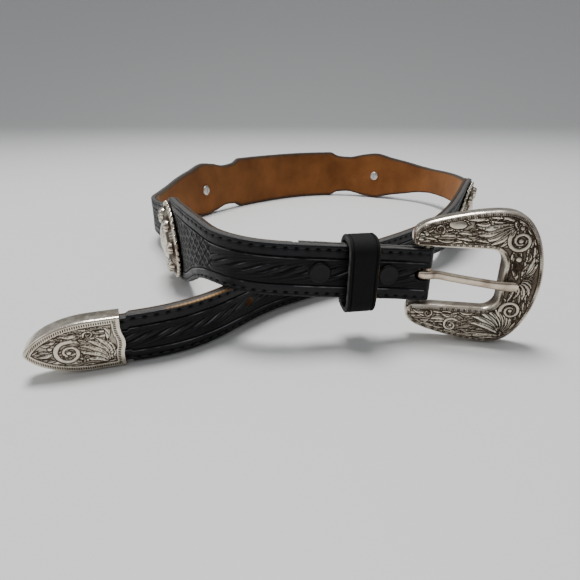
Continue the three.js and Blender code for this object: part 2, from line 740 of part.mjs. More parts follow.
function prongGeometry() {
  const { loop, rootLow, rootHigh, half, middle, drop } = PRONG;
  const { tip, flatFrom, thick, tipThick, round } = PRONG;
  const eye = FOLD.radius;
  const rest = BUCKLE.front + RELIEF + GAP;
  const side = new THREE.Shape();
  side.moveTo(0, loop);
  side.absarc(0, 0, loop, Math.PI / 2, (11 / 6) * Math.PI, false);
  side.lineTo(loop + 0.6, rootLow);
  side.quadraticCurveTo(flatFrom * 0.58, rest - 1, flatFrom, rest);
  side.lineTo(tip - 0.2, rest);
  side.lineTo(tip, rest + tipThick / 2);
  side.lineTo(tip - 0.2, rest + tipThick);
  side.lineTo(flatFrom + 1, rest + thick - 0.2);
  side.quadraticCurveTo(flatFrom * 0.6, rest + thick - 1.1, loop + 0.5, rootHigh);
  const eyeHole = new THREE.Path();
  eyeHole.absarc(0, 0, eye, 0, 2 * Math.PI, false);
  side.holes.push(eyeHole);
  const body = extruded(side, -half, half, {
    curveSegments: 8,
    bevelThickness: round,
    bevelSize: round,
    bevelOffset: -round,
    bevelSegments: 1,
  });
  body.rotateX(Math.PI / 2);
  const position = body.attributes.position;
  for (let i = 0; i < position.count; i += 1) {
    const along = THREE.MathUtils.clamp((position.getX(i) - loop) / (tip - loop), 0, 1);
    position.setY(i, position.getY(i) + middle - drop * along);
  }
  return merged(body);
}

piece('prong', prongGeometry(), PRONG_METAL, buckleMatrix);

// Metal tip: a hollow cap with a pointed arch outline and a bracket-shaped mouth

function tipShape(inset) {
  const point = TIP.length - inset;
  const ahead = [0, 0.5, 1.6, 3.4, 5.6, 8.4, 12, 16, 20].map((d) => {
    return new THREE.Vector2(d - point, Math.max(tipHalf(d) - inset, 0));
  });
  const mouth = TIP_MOUTH.map(({ x, y }) => {
    return new THREE.Vector2(inset > 0 ? PAST_MOUTH : x, y === TIP.half ? y - inset : y);
  });
  const upper = [...ahead, ...(inset > 0 ? [mouth[0]] : mouth)];
  const lower = upper.slice(1).toReversed().map(({ x, y }) => new THREE.Vector2(x, -y));
  return new THREE.Shape([...upper, ...lower].toReversed());
}

function tipGeometry() {
  const { thick, wall: tipWall, bevel } = TIP;
  const outer = extruded(tipShape(0), -thick / 2, thick / 2, {
    bevelThickness: bevel,
    bevelSize: bevel,
    bevelOffset: -bevel,
    bevelSegments: 1,
  });
  const hollow = extruded(tipShape(tipWall), tipWall - thick / 2, thick / 2 - tipWall);
  const leaves = TIP_LEAVES.map((row) => leaf(row, thick / 2 - 0.3, thick / 2 + RELIEF));
  const scroll = curl(TIP_CURL, thick / 2 - 0.3, thick / 2 + RELIEF);
  const cap = without(solid(outer), [hollow]);
  return geometryOf(cap.add(joined([...leaves, scroll])));
}

piece('belt_tip', tipGeometry(), NICKEL_SILVER, stationMatrix(TOTAL - TIP.length));

export default belt;
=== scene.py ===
import math
from collections import namedtuple

import bpy
import numpy as np
from mathutils import Matrix


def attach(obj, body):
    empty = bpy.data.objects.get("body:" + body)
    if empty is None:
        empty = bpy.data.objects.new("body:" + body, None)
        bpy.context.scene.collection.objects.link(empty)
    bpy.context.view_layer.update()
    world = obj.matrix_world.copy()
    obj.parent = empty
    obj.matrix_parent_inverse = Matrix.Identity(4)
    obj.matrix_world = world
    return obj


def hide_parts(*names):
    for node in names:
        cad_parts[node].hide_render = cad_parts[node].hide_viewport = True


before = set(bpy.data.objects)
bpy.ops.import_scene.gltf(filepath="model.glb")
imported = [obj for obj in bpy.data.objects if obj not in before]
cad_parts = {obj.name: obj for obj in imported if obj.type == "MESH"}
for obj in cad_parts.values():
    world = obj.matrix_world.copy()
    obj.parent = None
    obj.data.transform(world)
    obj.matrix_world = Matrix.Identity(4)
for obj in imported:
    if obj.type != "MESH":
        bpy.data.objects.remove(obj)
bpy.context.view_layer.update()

MM = 0.001

# Camera
# It looks at the belt from the side of the buckle and the tip, 23 degrees down, from 77 mm above the
# table, through a wide lens.
CAMERA_PLACE = (-0.0204, -0.2602, 0.077)
CAMERA_DOWN = 23
LENS = 27.06

camera = bpy.data.objects.new("camera", bpy.data.cameras.new("camera"))
camera.data.lens = LENS
camera.data.clip_start = 0.01
camera.location = CAMERA_PLACE
camera.rotation_euler = (math.radians(90 - CAMERA_DOWN), 0, 0)
bpy.context.scene.collection.objects.link(camera)
bpy.context.scene.camera = camera

# Strap
# One strip of black saddle leather, 2.3 mm thick, cut wide at the conchos and narrow at both ends. Its
# grain side is tooled with a border line, a rope on the narrow ends and a basket weave on the lobes. It
# is turned back round the buckle bar, sewn along both edges, and stands on its lower edge.
Stretch = namedtuple("Stretch", "name length turn height lean")
ROUTE = [
    Stretch("billet", 48, -8.5, 27.8, 3.5),
    Stretch("near bend a", 32.5, -56.5, 29.7, 2),
    Stretch("near bend b", 35.5, -15, 23.2, 3),
    Stretch("left station", 32, 0, 19, 1),
    Stretch("left side a", 36, 8, 18.2, 0),
    Stretch("left side b", 37, -33, 17.2, 0),
    Stretch("left side c", 38.5, -21, 18.6, -1),
    Stretch("back left station", 33, -8.5, 19, 0),
    Stretch("left neck", 26, -8, 19, 0),
    Stretch("panel, left half", 44, -13.5, 19, 0),
    Stretch("panel, right half", 44, -29.5, 19, 0),
    Stretch("right neck", 26, -25.5, 19, 0),
    Stretch("back right station", 35.5, -10.5, 19, 0),
    Stretch("right side c", 39, -38.5, 19.6, 0),
    Stretch("right side b", 39, -23.5, 20, 4),
    Stretch("right side a", 52.5, -24, 19.7, 10),
    Stretch("right station", 35, 0, 19.3, 10),
    Stretch("tip run a", 44.5, -26, 15.1, 9.5),
    Stretch("tip run b", 36.5, -7.5, 11.7, 10),
    Stretch("tip run c", 34.5, 5, 10, 10),
    Stretch("tip run d", 34.5, 17.5, 10, 8),
    Stretch("tip bend", 37.5, -33.5, 9.2, 5.5),
    Stretch("metal tip", 32, 0, 9.12, 5),
]
BAR = (25.8, -119.1)
BAR_HEADING = 191.3
START_HEIGHT = 23.3
STATION_BEFORE_END = 17
STRAP_HALF = 9.3
TOWARD_BILLET = [(0, 19), (15, 17.6), (27, 15.8), (40, 12.5), (59, 9.6), (88, STRAP_HALF)]
TOWARD_NECK = [(15, 15.8), (28, 13.4), (42, 10.8), (58, 9.6)]
TOWARD_PANEL = [(12, 17.5), (24, 15.2), (34, 16), (41, 19)]
GRAIN = 1.95
WALL = 2.3
FLAP_WALL = 1.6
FLAP_FLESH = -0.65
FLAP_LENGTH = 44
FOLD_RADIUS = 1.4
FOLD_WALL = 1.1
FOLD_FLAT = 9
FOLD_EASED = 12
TIP_LENGTH = 28
TIP_HALF = 9
TIP_ARCH = 20


def monotone(knots, values):
    """Smooth curve through a table that never overshoots its rows."""
    knots, values = np.array(knots, float), np.array(values, float)
    width = np.diff(knots)
    slope = np.diff(values) / width
    tangent = np.zeros(len(knots))
    w1 = 2 * width[1:] + width[:-1]
    w2 = width[1:] + 2 * width[:-1]
    same = slope[:-1] * slope[1:] > 0
    before, after = np.where(same, slope[:-1], 1), np.where(same, slope[1:], 1)
    tangent[1:-1] = np.where(same, (w1 + w2) / (w1 / before + w2 / after), 0)
    for end, a, b in ((0, 0, 1), (-1, -1, -2)):
        d = ((2 * width[a] + width[b]) * slope[a] - width[a] * slope[b]) / (width[a] + width[b])
        if d * slope[a] <= 0:
            d = 0
        elif slope[a] * slope[b] < 0 and abs(d) > 3 * abs(slope[a]):
            d = 3 * slope[a]
        tangent[end] = d

    def at(s):
        s = np.clip(np.asarray(s, float), knots[0], knots[-1])
        i = np.clip(np.searchsorted(knots, s) - 1, 0, len(width) - 1)
        t = (s - knots[i]) / width[i]
        bend = 3 * slope[i] - 2 * tangent[i] - tangent[i + 1]
        twist = tangent[i] + tangent[i + 1] - 2 * slope[i]
        return values[i] + t * width[i] * tangent[i] + t * t * width[i] * (bend + t * twist)

    return at


ends = np.concatenate([[0], np.cumsum([row.length for row in ROUTE])])
TOTAL = ends[-1]
heading_at = monotone(ends, BAR_HEADING + np.concatenate([[0], np.cumsum([row.turn for row in ROUTE])]))
height_at = monotone(ends, [START_HEIGHT] + [row.height for row in ROUTE])
lean_at = monotone(ends, [0] + [row.lean for row in ROUTE])
stations = [end - STATION_BEFORE_END for end, row in zip(ends[1:], ROUTE) if row.name.endswith("station")]

trace_s = np.arange(0, TOTAL + 1)
steps = np.radians(heading_at(trace_s[:-1] + 0.5))
trace_x = BAR[0] + np.concatenate([[0], np.cumsum(np.cos(steps))])
trace_y = BAR[1] + np.concatenate([[0], np.cumsum(np.sin(steps))])


def tip_half(from_point):
    """Half the metal tip's height at a distance from its point."""
    return TIP_HALF * (1 - (1 - np.clip(from_point, 0, TIP_ARCH) / TIP_ARCH) ** 2.2) ** 0.7


def half_widths():
    knots = [(0, STRAP_HALF), (TOTAL - 70, STRAP_HALF), (TOTAL - TIP_LENGTH, TIP_HALF - 0.3)]
    left, back_left, back_right, right = stations
    sides = [
        (left, -1, TOWARD_BILLET),
        (left, 1, TOWARD_NECK),
        (back_left, -1, TOWARD_NECK),
        (back_left, 1, TOWARD_BILLET[:1] + TOWARD_PANEL),
        (back_right, -1, TOWARD_PANEL),
        (back_right, 1, TOWARD_BILLET[:1] + TOWARD_NECK),
        (right, -1, TOWARD_NECK),
        (right, 1, TOWARD_BILLET),
    ]
    for centre, side, rows in sides:
        knots += [(centre + side * away, half) for away, half in rows]
    knots.sort()
    return monotone(*zip(*knots))


body_half = half_widths()


def half_at(s):
    inside_tip = np.maximum(tip_half(TOTAL - s - 1) - 1, 0.05)
    return np.where(s > TOTAL - TIP_LENGTH - 2, np.minimum(body_half(s), inside_tip), body_half(s))


def axes_at(s):
    """The strap's own directions: x to the right seen from outside, y up its face and z outward."""
    heading, lean = np.radians(heading_at(s)), np.radians(lean_at(s))
    outward = np.stack([-np.sin(heading), np.cos(heading), np.zeros_like(heading)], -1)
    up = np.array([0.0, 0.0, 1.0])
    cos, sin = np.cos(lean)[..., None], np.sin(lean)[..., None]
    y = up * cos + outward * sin
    z = outward * cos - up * sin
    return np.cross(y, z), y, z


def place(s, out, up):
    """A point of the strap: s along the route, out from its middle, up from its centre line."""
    s = np.asarray(s, float)
    _, y, z = axes_at(s)
    middle = np.stack([np.interp(s, trace_s, trace_x), np.interp(s, trace_s, trace_y), height_at(s)], -1)
    return middle + z * np.asarray(out)[..., None] + y * np.asarray(up)[..., None]


def corners_of(thing):
    flat = np.empty(len(thing.data.vertices) * 3, np.float32)
    thing.data.vertices.foreach_get("co", flat)
    return flat.reshape(-1, 3).astype(float)


def move(thing, places):
    thing.data.vertices.foreach_set("co", np.asarray(places, np.float32).ravel())
    thing.data.update()


def mark(thing, name, values):
    """Keeps one number for each vertex, which the material reads."""
    layer = thing.data.attributes.new(name, "FLOAT", "POINT")
    layer.data.foreach_set("value", np.asarray(values, np.float32))


def pick(thing):
    """Makes a piece the only selected one and the active one."""
    bpy.ops.object.select_all(action="DESELECT")
    thing.select_set(True)
    bpy.context.view_layer.objects.active = thing


def edit(thing, *operations):
    """Runs mesh operators on the whole of a piece, in edit mode."""
    pick(thing)
    bpy.ops.object.mode_set(mode="EDIT")
    bpy.ops.mesh.select_all(action="SELECT")
    for operation, settings in operations:
        operation(**settings)
    bpy.ops.object.mode_set(mode="OBJECT")


def sheet_of(name, points):
    """A grid laid to points[column, row] in millimetres. Its last row is sewn to its first one, and its
    open ends are filled."""
    points = np.concatenate([points, points[:, :1]], axis=1)
    columns, rows = points.shape[:2]
    bpy.ops.object.select_all(action="DESELECT")
    bpy.ops.mesh.primitive_grid_add(
        x_subdivisions=columns - 1, y_subdivisions=rows - 1, size=2, calc_uvs=False
    )
    made = bpy.context.object
    made.name = made.data.name = name
    index = (corners_of(made)[:, :2] + 1) / 2 * (columns - 1, rows - 1)
    column, row = np.rint(index).astype(int).T
    move(made, points[column, row] * MM)
    edit(
        made,
        (bpy.ops.mesh.remove_doubles, {"threshold": 1e-6}),
        (bpy.ops.mesh.fill_holes, {"sides": 0}),
        (bpy.ops.mesh.normals_make_consistent, {"inside": False}),
    )
    return made


def cut(thing, cutter, operation="DIFFERENCE"):
    """Cuts a second piece out of the first, or with UNION joins it on, and removes it."""
    pick(thing)
    modifier = thing.modifiers.new("boolean", "BOOLEAN")
    modifier.object = cutter
    modifier.operation = operation
    modifier.solver = "EXACT"
    modifier.material_mode = "TRANSFER"
    bpy.ops.object.modifier_apply(modifier=modifier.name)
    bpy.data.objects.remove(cutter)


def smooth(thing, angle=50):
    pick(thing)
    bpy.ops.object.shade_smooth_by_angle(angle=math.radians(angle))


def node(tree, kind, settings=None, **inputs):
    """Adds a shader node and links or sets its inputs, which are named or, as _0 and so on, counted."""
    made = tree.nodes.new(kind)
    for key, value in (settings or {}).items():
        setattr(made, key, value)
    for key, value in inputs.items():
        socket = made.inputs[int(key[1:]) if key[0] == "_" else key.replace("_", " ")]
        if isinstance(value, bpy.types.NodeSocket):
            tree.links.new(value, socket)
        else:
            socket.default_value = value
    return made


def maths(tree, operation, a, b=0.0, clamp=False):
    settings = {"operation": operation, "use_clamp": clamp}
    return node(tree, "ShaderNodeMath", settings, _0=a, _1=b).outputs[0]


def mixed(tree, factor, a, b):
    """Colour a where the factor is 0 and colour b where it is 1."""
    return node(tree, "ShaderNodeMix", {"data_type": "RGBA"}, _0=factor, _6=a, _7=b).outputs[2]


def spread(tree, value, low, high, to_low=0.0, to_high=1.0):
    """Maps low to high onto to_low to to_high, and holds it there outside."""
    made = node(tree, "ShaderNodeMapRange", None, _0=value, _1=low, _2=high, _3=to_low, _4=to_high)
    return made.outputs[0]


def mottle(tree, scale, detail=3.0):
    """Noise on the piece's own place, in cells per metre."""
    where = node(tree, "ShaderNodeTexCoord").outputs["Object"]
    settings = {"Vector": where, "Scale": scale, "Detail": detail, "Roughness": 0.55}
    return node(tree, "ShaderNodeTexNoise", None, **settings).outputs["Fac"]


def cells(tree, scale):
    """Distance from the middle of the nearest cell, in cells per metre."""
    where = node(tree, "ShaderNodeTexCoord").outputs["Object"]
    made = node(tree, "ShaderNodeTexVoronoi", None, Vector=where, Scale=scale)
    return made.outputs["Distance"]


def marked(tree, name):
    """A number that mark() kept on the piece. It reads 0 on a piece without it."""
    return node(tree, "ShaderNodeAttribute", {"attribute_name": name}).outputs["Fac"]


def bumps(tree, *layers):
    """Bump nodes one on the other: each layer is (height, strength, depth in metres)."""
    normal = None
    for height, strength, depth in layers:
        made = node(tree, "ShaderNodeBump", None, Height=height, Strength=strength, Distance=depth)
        if normal is not None:
            tree.links.new(normal, made.inputs["Normal"])
        normal = made.outputs["Normal"]
    return normal


def material(name, **shader):
    made = bpy.data.materials.new(name)
    made.use_nodes = True
    tree = made.node_tree
    principled = tree.nodes["Principled BSDF"]
    for key, value in shader.items():
        principled.inputs[key.replace("_", " ")].default_value = value
    return made, tree, principled


def join_to(tree, principled, **sockets):
    for key, value in sockets.items():
        tree.links.new(value, principled.inputs[key.replace("_", " ")])


BLACK_DYE = (0.0028, 0.0028, 0.0042, 1)
BLACK_WORN = (0.006, 0.006, 0.0082, 1)
SHADE_BLACK = (0.0015, 0.0015, 0.0018, 1)
HIGHLIGHT_GREY = (0.17, 0.17, 0.18, 1)
DARK_EDGE = (0.03, 0.03, 0.03, 1)
GREY_EDGE = (0.115, 0.11, 0.104, 1)
TAN = (0.5, 0.29, 0.12, 1)
RAW_DARK = (0.05, 0.022, 0.01, 1)
RAW_LIGHT = (0.33, 0.15, 0.06, 1)
BORDER = 4.45
STITCH_IN = 1.45
STITCH_PITCH = 3.45
AWL_LONG = 0.62
AWL_HIGH = 0.34
ROPE_PITCH = 5.9
ROPE_RISE = 2.08
ROPE_BOW = 0.11
ROPE_SIN = 0.434
ROPE_REACH = 3.9
ROPE_MIDDLE = 2.0
ROPE_FROM_STATION = 56
SLASH_HALF = 0.36
BLADE_HALF = 0.15
LIP_AWAY = 0.5
LIP_HALF = 0.24
UNDER_BORDER = 0.55
WEAVE_CELL = 3.6
SEAM_HALF = 0.36
PIT_HALF = (0.62, 0.85)
SNAPS = (37.2, 14.1)


def combined(tree, operation, *values):
    """Joins any number of values with one operation."""
    made = values[0]
    for value in values[1:]:
        made = maths(tree, operation, made, value)
    return made


def times(tree, *values):
    return combined(tree, "MULTIPLY", *values)


def greatest(tree, *values):
    return combined(tree, "MAXIMUM", *values)


def repeated(tree, value, pitch):
    """Distance from the nearest of a row of lines that lie one pitch apart."""
    turns = maths(tree, "ADD", maths(tree, "DIVIDE", value, pitch), 0.5)
    part = maths(tree, "SUBTRACT", maths(tree, "FRACT", turns), 0.5)
    return maths(tree, "MULTIPLY", part, pitch)


def ridge(tree, distance, half):
    """1 on a line and 0 from half its width outward."""
    share = maths(tree, "DIVIDE", distance, half)
    return maths(tree, "SUBTRACT", 1.0, maths(tree, "MULTIPLY", share, share), clamp=True)


# The tooling's finest lines are drawn by the material, in the millimetres of the strap laid flat.
black_leather, tree, shader = material("black_leather", Specular_IOR_Level=0.24)
laid_flat = node(tree, "ShaderNodeUVMap", {"uv_map": "along"}).outputs[0]
flat_place = node(tree, "ShaderNodeSeparateXYZ", None, _0=laid_flat)
along_mm = maths(tree, "MULTIPLY", flat_place.outputs[0], 1000.0)
up_mm = maths(tree, "MULTIPLY", flat_place.outputs[1], 1000.0)
feather = marked(tree, "feather")
from_stitch = marked(tree, "stitch")

bowed = times(tree, up_mm, up_mm, up_mm, ROPE_BOW)
rise = combined(tree, "ADD", along_mm, times(tree, up_mm, ROPE_RISE), bowed)
off_cut = times(tree, repeated(tree, rise, ROPE_PITCH), ROPE_SIN)
middle_field = ridge(tree, up_mm, ROPE_MIDDLE)
outer_field = maths(tree, "SUBTRACT", 1.0, middle_field, clamp=True)
slash = times(tree, ridge(tree, off_cut, SLASH_HALF), middle_field, feather)
slash = maths(tree, "MULTIPLY", slash, 1.6, clamp=True)
off_blade = times(tree, repeated(tree, rise, ROPE_PITCH / 3), ROPE_SIN)
blades = times(tree, ridge(tree, off_blade, BLADE_HALF), outer_field, feather, 0.6)
lip = ridge(tree, maths(tree, "ADD", off_cut, LIP_AWAY), LIP_HALF)
lip = times(tree, lip, middle_field, feather)
from_border = maths(tree, "SUBTRACT", from_stitch, BORDER - STITCH_IN)
below_border = times(tree, from_border, maths(tree, "SIGN", up_mm))
under_border = ridge(tree, maths(tree, "SUBTRACT", below_border, UNDER_BORDER), LIP_HALF)

slants = []
for operation in ("SUBTRACT", "ADD"):
    slant = times(tree, maths(tree, operation, up_mm, along_mm), math.sqrt(0.5))
    slant = maths(tree, "ADD", slant, WEAVE_CELL / 2)
    slants.append(repeated(tree, slant, WEAVE_CELL))
seams = greatest(tree, *[ridge(tree, slant, SEAM_HALF) for slant in slants])
pits = times(tree, *[ridge(tree, slant, half) for slant, half in zip(slants, PIT_HALF)], 1.8)
woven = maths(tree, "MINIMUM", greatest(tree, pits, seams), 1.0)
woven = times(tree, woven, marked(tree, "basket"))

awl = ridge(tree, repeated(tree, along_mm, STITCH_PITCH), AWL_LONG)
awl = times(tree, awl, ridge(tree, from_stitch, AWL_HIGH))
awl = maths(tree, "MULTIPLY", awl, 2.2, clamp=True)
pressed_in = greatest(tree, slash, awl, blades, woven)

dye_and_painted_light = mixed(tree, spread(tree, mottle(tree, 70), 0.35, 0.7), BLACK_DYE, BLACK_WORN)
# Painted shade: the tooled hollows, awl holes, weave pits and creases are painted near black.
sunk = times(tree, greatest(tree, marked(tree, "recess"), pressed_in), 0.9)
dye_and_painted_light = mixed(tree, sunk, dye_and_painted_light, SHADE_BLACK)
# Painted highlight: light grey on the lip beside each rope cut and on the line below each border groove,
# broken into patches by noise.
highlight_patches = spread(tree, mottle(tree, 120, 3), 0.42, 0.6)
painted_highlight = times(tree, greatest(tree, lip, under_border), highlight_patches)
dye_and_painted_light = mixed(tree, painted_highlight, dye_and_painted_light, HIGHLIGHT_GREY)
edge_fuzz = mottle(tree, 1500, 4)
dye_and_painted_light = mixed(tree, marked(tree, "edge"), dye_and_painted_light, mixed(tree, edge_fuzz, DARK_EDGE, GREY_EDGE))
dye_and_painted_light = mixed(tree, marked(tree, "wear"), dye_and_painted_light, TAN)
sheen = spread(tree, mottle(tree, 260, 4), 0.3, 0.75, 0.34, 0.54)
sheen = maths(tree, "SUBTRACT", sheen, times(tree, painted_highlight, 0.12))
rough_edge = times(tree, marked(tree, "edge"), 0.95)
rough = greatest(tree, sheen, rough_edge, times(tree, pressed_in, 0.8))
pores = maths(tree, "ADD", cells(tree, 1500), mottle(tree, 2600, 3))
fuzz = times(tree, edge_fuzz, marked(tree, "edge"))
hollows = times(tree, pressed_in, -1.0)
relief = bumps(tree, (pores, 0.3, 0.00012), (hollows, 1.0, 0.0007), (fuzz, 0.9, 0.0004))
join_to(tree, shader, Base_Color=dye_and_painted_light, Roughness=rough, Normal=relief)

raw_leather, tree, shader = material("raw_leather", Roughness=0.92)
raw = mixed(tree, mottle(tree, 1400, 4), RAW_DARK, RAW_LIGHT)
relief = bumps(tree, (mottle(tree, 2400, 4), 0.9, 0.0003))
join_to(tree, shader, Base_Color=raw, Normal=relief)


def groove(distance, half, depth):
    """A round groove's depth at a distance from its middle."""
    return depth * np.clip(1 - (distance / half) ** 2, 0, 1)


def rope(s, up):
    """S-shaped cuts that rise to the right, with the leather between them rounded like strands."""
    lie = ROPE_RISE * up + ROPE_BOW * up**3
    slope = ROPE_RISE + 3 * ROPE_BOW * up**2
    phase = (s + lie) / ROPE_PITCH
    off = (phase - np.rint(phase)) * ROPE_PITCH / np.sqrt(1 + slope**2)
    fade = np.clip(1.25 - (up / ROPE_REACH) ** 2, 0, 1) * (np.abs(up) < ROPE_REACH + 0.3)
    cut_depth = 0.12 + 0.4 * np.clip(1.2 - (up / 1.9) ** 2, 0, 1)
    between = 0.16 * np.abs(2 * (phase - np.rint(phase))) ** 2
    return fade * (groove(off, 0.5, 1) * cut_depth + 0.16 - between)


def weave(s, up):
    """Basket weave on the slant: every second cell runs the other way, with a pit at its corners."""
    a = (-s + up) / math.sqrt(2) / WEAVE_CELL
    b = (up + s) / math.sqrt(2) / WEAVE_CELL
    fa, fb = a - np.floor(a) - 0.5, b - np.floor(b) - 0.5
    other = (np.floor(a) + np.floor(b)) % 2 == 1
    across, along = np.where(other, fb, fa), np.where(other, fa, fb)
    hump = np.sqrt(np.clip(1 - (1.9 * across) ** 2, 0, 1)) * (1 - 0.35 * (2 * along) ** 4)
    pit = (np.abs(fa) > 0.4) & (np.abs(fb) > 0.32)
    return 0.42 * (1 - hump) + 0.25 * pit


def roped(s):
    """Where the narrow ends carry the rope. The rest carries the weave."""
    return (s < stations[0] - ROPE_FROM_STATION) | (s > stations[-1] + ROPE_FROM_STATION)


def tooling(s, up):
    """How deep each place of the grain side is pressed in, in millimetres."""
    inset = half_at(s) - np.abs(up)
    deep = groove(inset - BORDER, 0.38, 0.55)
    deep += groove(inset - STITCH_IN, 0.45, 0.12)
    hole = (s - STITCH_PITCH * np.rint(s / STITCH_PITCH)) / AWL_LONG
    hole_deep = np.where(np.abs(inset - STITCH_IN) < 0.5, groove(hole, 1, 0.55), 0)
    deep += hole_deep * np.clip(1.2 - (np.abs(inset - STITCH_IN) / 0.4) ** 2, 0, 1)
    field = np.clip((inset - BORDER - 0.35) / 0.5, 0, 1)
    snap_flat = np.ones_like(s)
    for along in SNAPS:
        snap_flat *= np.clip((np.hypot(s - along, up) - 3.5) / 0.6, 0, 1)
    pattern = np.where(roped(s), rope(s, up), weave(s, up) + 0.08)
    deep += field * pattern * snap_flat
    return np.where(s >= 0, np.clip(deep, 0, 1.1), 0)


# Rows of the strap's section, from each edge inward: how far in, and how far the round edge falls away.
EDGE_INSETS = [0, 0.07, 0.24, 0.5, 0.85, 1.1, 1.28, 1.45, 1.62, 1.8]
EDGE_INSETS += [2.15, 2.9, 3.6, 4.05, 4.25, 4.38, 4.52, 4.65, 4.85, 5.1]
EDGE_FALLS = [0.62, 0.3, 0.1] + [0] * 17
MIDDLE_ROWS = 31


def strap_section(s):
    """The closed section's points (up, depth) for each distance along the strap."""
    half = half_at(np.maximum(np.where(s < -FOLD_FLAT, -s - FOLD_FLAT, s), 0))[:, None]
    down = np.array(EDGE_FALLS)[None] + 0 * half
    scale = np.minimum(1, half / (EDGE_INSETS[-1] + 1.2))
    upper = half - np.array(EDGE_INSETS)[None] * scale
    inner = upper[:, -1:] * np.linspace(1, -1, MIDDLE_ROWS + 2)[1:-1][None]
    up = np.concatenate([upper, inner, -upper[:, ::-1]], 1)
    depth = np.concatenate([down, 0 * inner, down[:, ::-1]], 1)
    side = np.concatenate([-half, -half, 0.2 - half, 0 * half, half - 0.2, half, half], 1)
    side_depth = np.array([1.2, 2.1, WALL, WALL, WALL, 2.1, 1.2])[None] + 0 * half
    return np.concatenate([up, side], 1), np.concatenate([depth, side_depth], 1)


def on_strap(s, up, depth):
    """Lays the flat strap on its route: s below 0 is the fold round the bar, and below that the flap."""
    behind = s < -FOLD_FLAT
    folding = (s < 0) & ~behind
    along = np.where(behind, -s - FOLD_FLAT, np.maximum(s, 0))
    t = np.clip(along / FOLD_EASED, 0, 1)
    bulge = 1 - t * t * (3 - 2 * t)
    share = depth / WALL
    flesh = -0.35 + (FOLD_RADIUS + 0.35) * bulge
    flap_flesh = FLAP_FLESH + (-FOLD_RADIUS - FLAP_FLESH) * bulge
    front_wall = WALL + (FOLD_WALL - WALL) * bulge
    back_wall = FLAP_WALL + (FOLD_WALL - FLAP_WALL) * bulge
    out = np.where(behind, flap_flesh - back_wall * (1 - share), flesh + front_wall * (1 - share))
    laid = place(along, out, up)
    turn = np.radians(90 + 180 * s / FOLD_FLAT)
    x, _, z = axes_at(np.zeros_like(s))
    toward = x * np.cos(turn)[:, None] + z * np.sin(turn)[:, None]
    from_bar = FOLD_RADIUS + FOLD_WALL * (1 - share)
    round_bar = place(np.zeros_like(s), 0 * s, up) + toward * from_bar[:, None]
    return np.where(folding[:, None], round_bar, laid)


strap_end = TOTAL - 2
run = np.concatenate(
    [
        np.linspace(-FLAP_LENGTH - FOLD_FLAT, -FOLD_FLAT, 50)[:-1],
        np.linspace(-FOLD_FLAT, 0, 26)[:-1],
        np.arange(0, 130, 0.5),
        np.arange(130, 640, 1.25),
        np.arange(640, strap_end, 0.55),
        [strap_end],
    ]
)
up, depth = strap_section(run)
along = run[:, None] + 0 * up
depth = depth + tooling(along, up) * (depth < 0.05)
chance = np.random.RandomState(11)
ragged = chance.rand(*up.shape) * 0.13
up = up - np.sign(up) * ragged * ((depth > 0.25) & (np.abs(up) > 1))
strap = sheet_of("strap_leather", np.stack([along, up, -depth], -1))
strap.data.materials.append(black_leather)

HOLES = 778.5 - 22 * np.arange(5)
HOLE_RADIUS = 1.75
PUNCH_LONG = 8


def punched(thing):
    """Punches the five holes through a strip that still lies flat, and leaves its raw core showing."""
    for s in HOLES:
        bpy.ops.mesh.primitive_cylinder_add(
            vertices=36,
            radius=HOLE_RADIUS * MM,
            depth=PUNCH_LONG * MM,
            location=(s * MM, 0, -PUNCH_LONG / 4 * MM),
        )
        punch = bpy.context.object
        punch.data.materials.append(raw_leather)
        cut(thing, punch)


punched(strap)
SLOT_HALF = 2.2
SLOT_MIDDLE = 0.4
SLOT_END = 4.5
bpy.ops.mesh.primitive_cylinder_add(
    vertices=28,
    radius=SLOT_HALF * MM,
    depth=PUNCH_LONG * MM,
    location=((SLOT_END - SLOT_HALF) * MM, SLOT_MIDDLE * MM, -1 * MM),
)
slot = bpy.context.object
slot.data.materials.append(black_leather)
reach = corners_of(slot)
reach[:, 0] -= (reach[:, 0] < 0) * (2 * (SLOT_END - SLOT_HALF) + FOLD_FLAT) * MM
move(slot, reach)
cut(strap, slot)


def unwrap(thing, across, down):
    layer = thing.data.uv_layers.new(name="along")
    loops = np.empty(len(thing.data.loops), np.int32)
    thing.data.loops.foreach_get("vertex_index", loops)
    layer.data.foreach_set("uv", np.stack([across, down], 1)[loops].astype(np.float32).ravel())


RUBBED_MIDDLE, RUBBED_REACH = 797, 15
GRAIN_DEEP = 1.15
flat = corners_of(strap) / MM
s, up, depth = flat[:, 0], flat[:, 1], -flat[:, 2]
pressed = np.where(depth < GRAIN_DEEP, tooling(s, up), 0)
inset = half_at(np.maximum(s, 0)) - np.abs(up)
# The tooling's depth, which the material paints near black: painted shade in the hollows.
mark(strap, "recess", np.clip(pressed / 0.5 - 0.25, 0, 1))
mark(strap, "edge", np.clip((depth - 0.2) / 0.3, 0, 1) * (inset < 0.6))
rubbed = np.clip(1 - np.abs(s - RUBBED_MIDDLE) / RUBBED_REACH, 0, 1) ** 0.5
rubbed = rubbed * (up > 0) * np.clip((0.62 - inset) / 0.3, 0, 1) * (depth < 0.7)
rubbed *= 0.4 + 0.6 * np.sin(s * 2.3) ** 2
mark(strap, "wear", rubbed)
on_grain = (s > 0) & (depth < GRAIN_DEEP)
in_field = on_grain * np.clip((inset - BORDER - 0.4) / 0.5, 0, 1)
for along in SNAPS:
    in_field = in_field * (np.hypot(s - along, up) > 3.9)
mark(strap, "feather", roped(s) * in_field)
mark(strap, "basket", ~roped(s) * in_field)
mark(strap, "stitch", np.where(on_grain, inset - STITCH_IN, 9))
unwrap(strap, s * MM, up * MM)
move(strap, on_strap(s, up, depth) * MM)
smooth(strap)
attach(strap, "root")
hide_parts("strap")

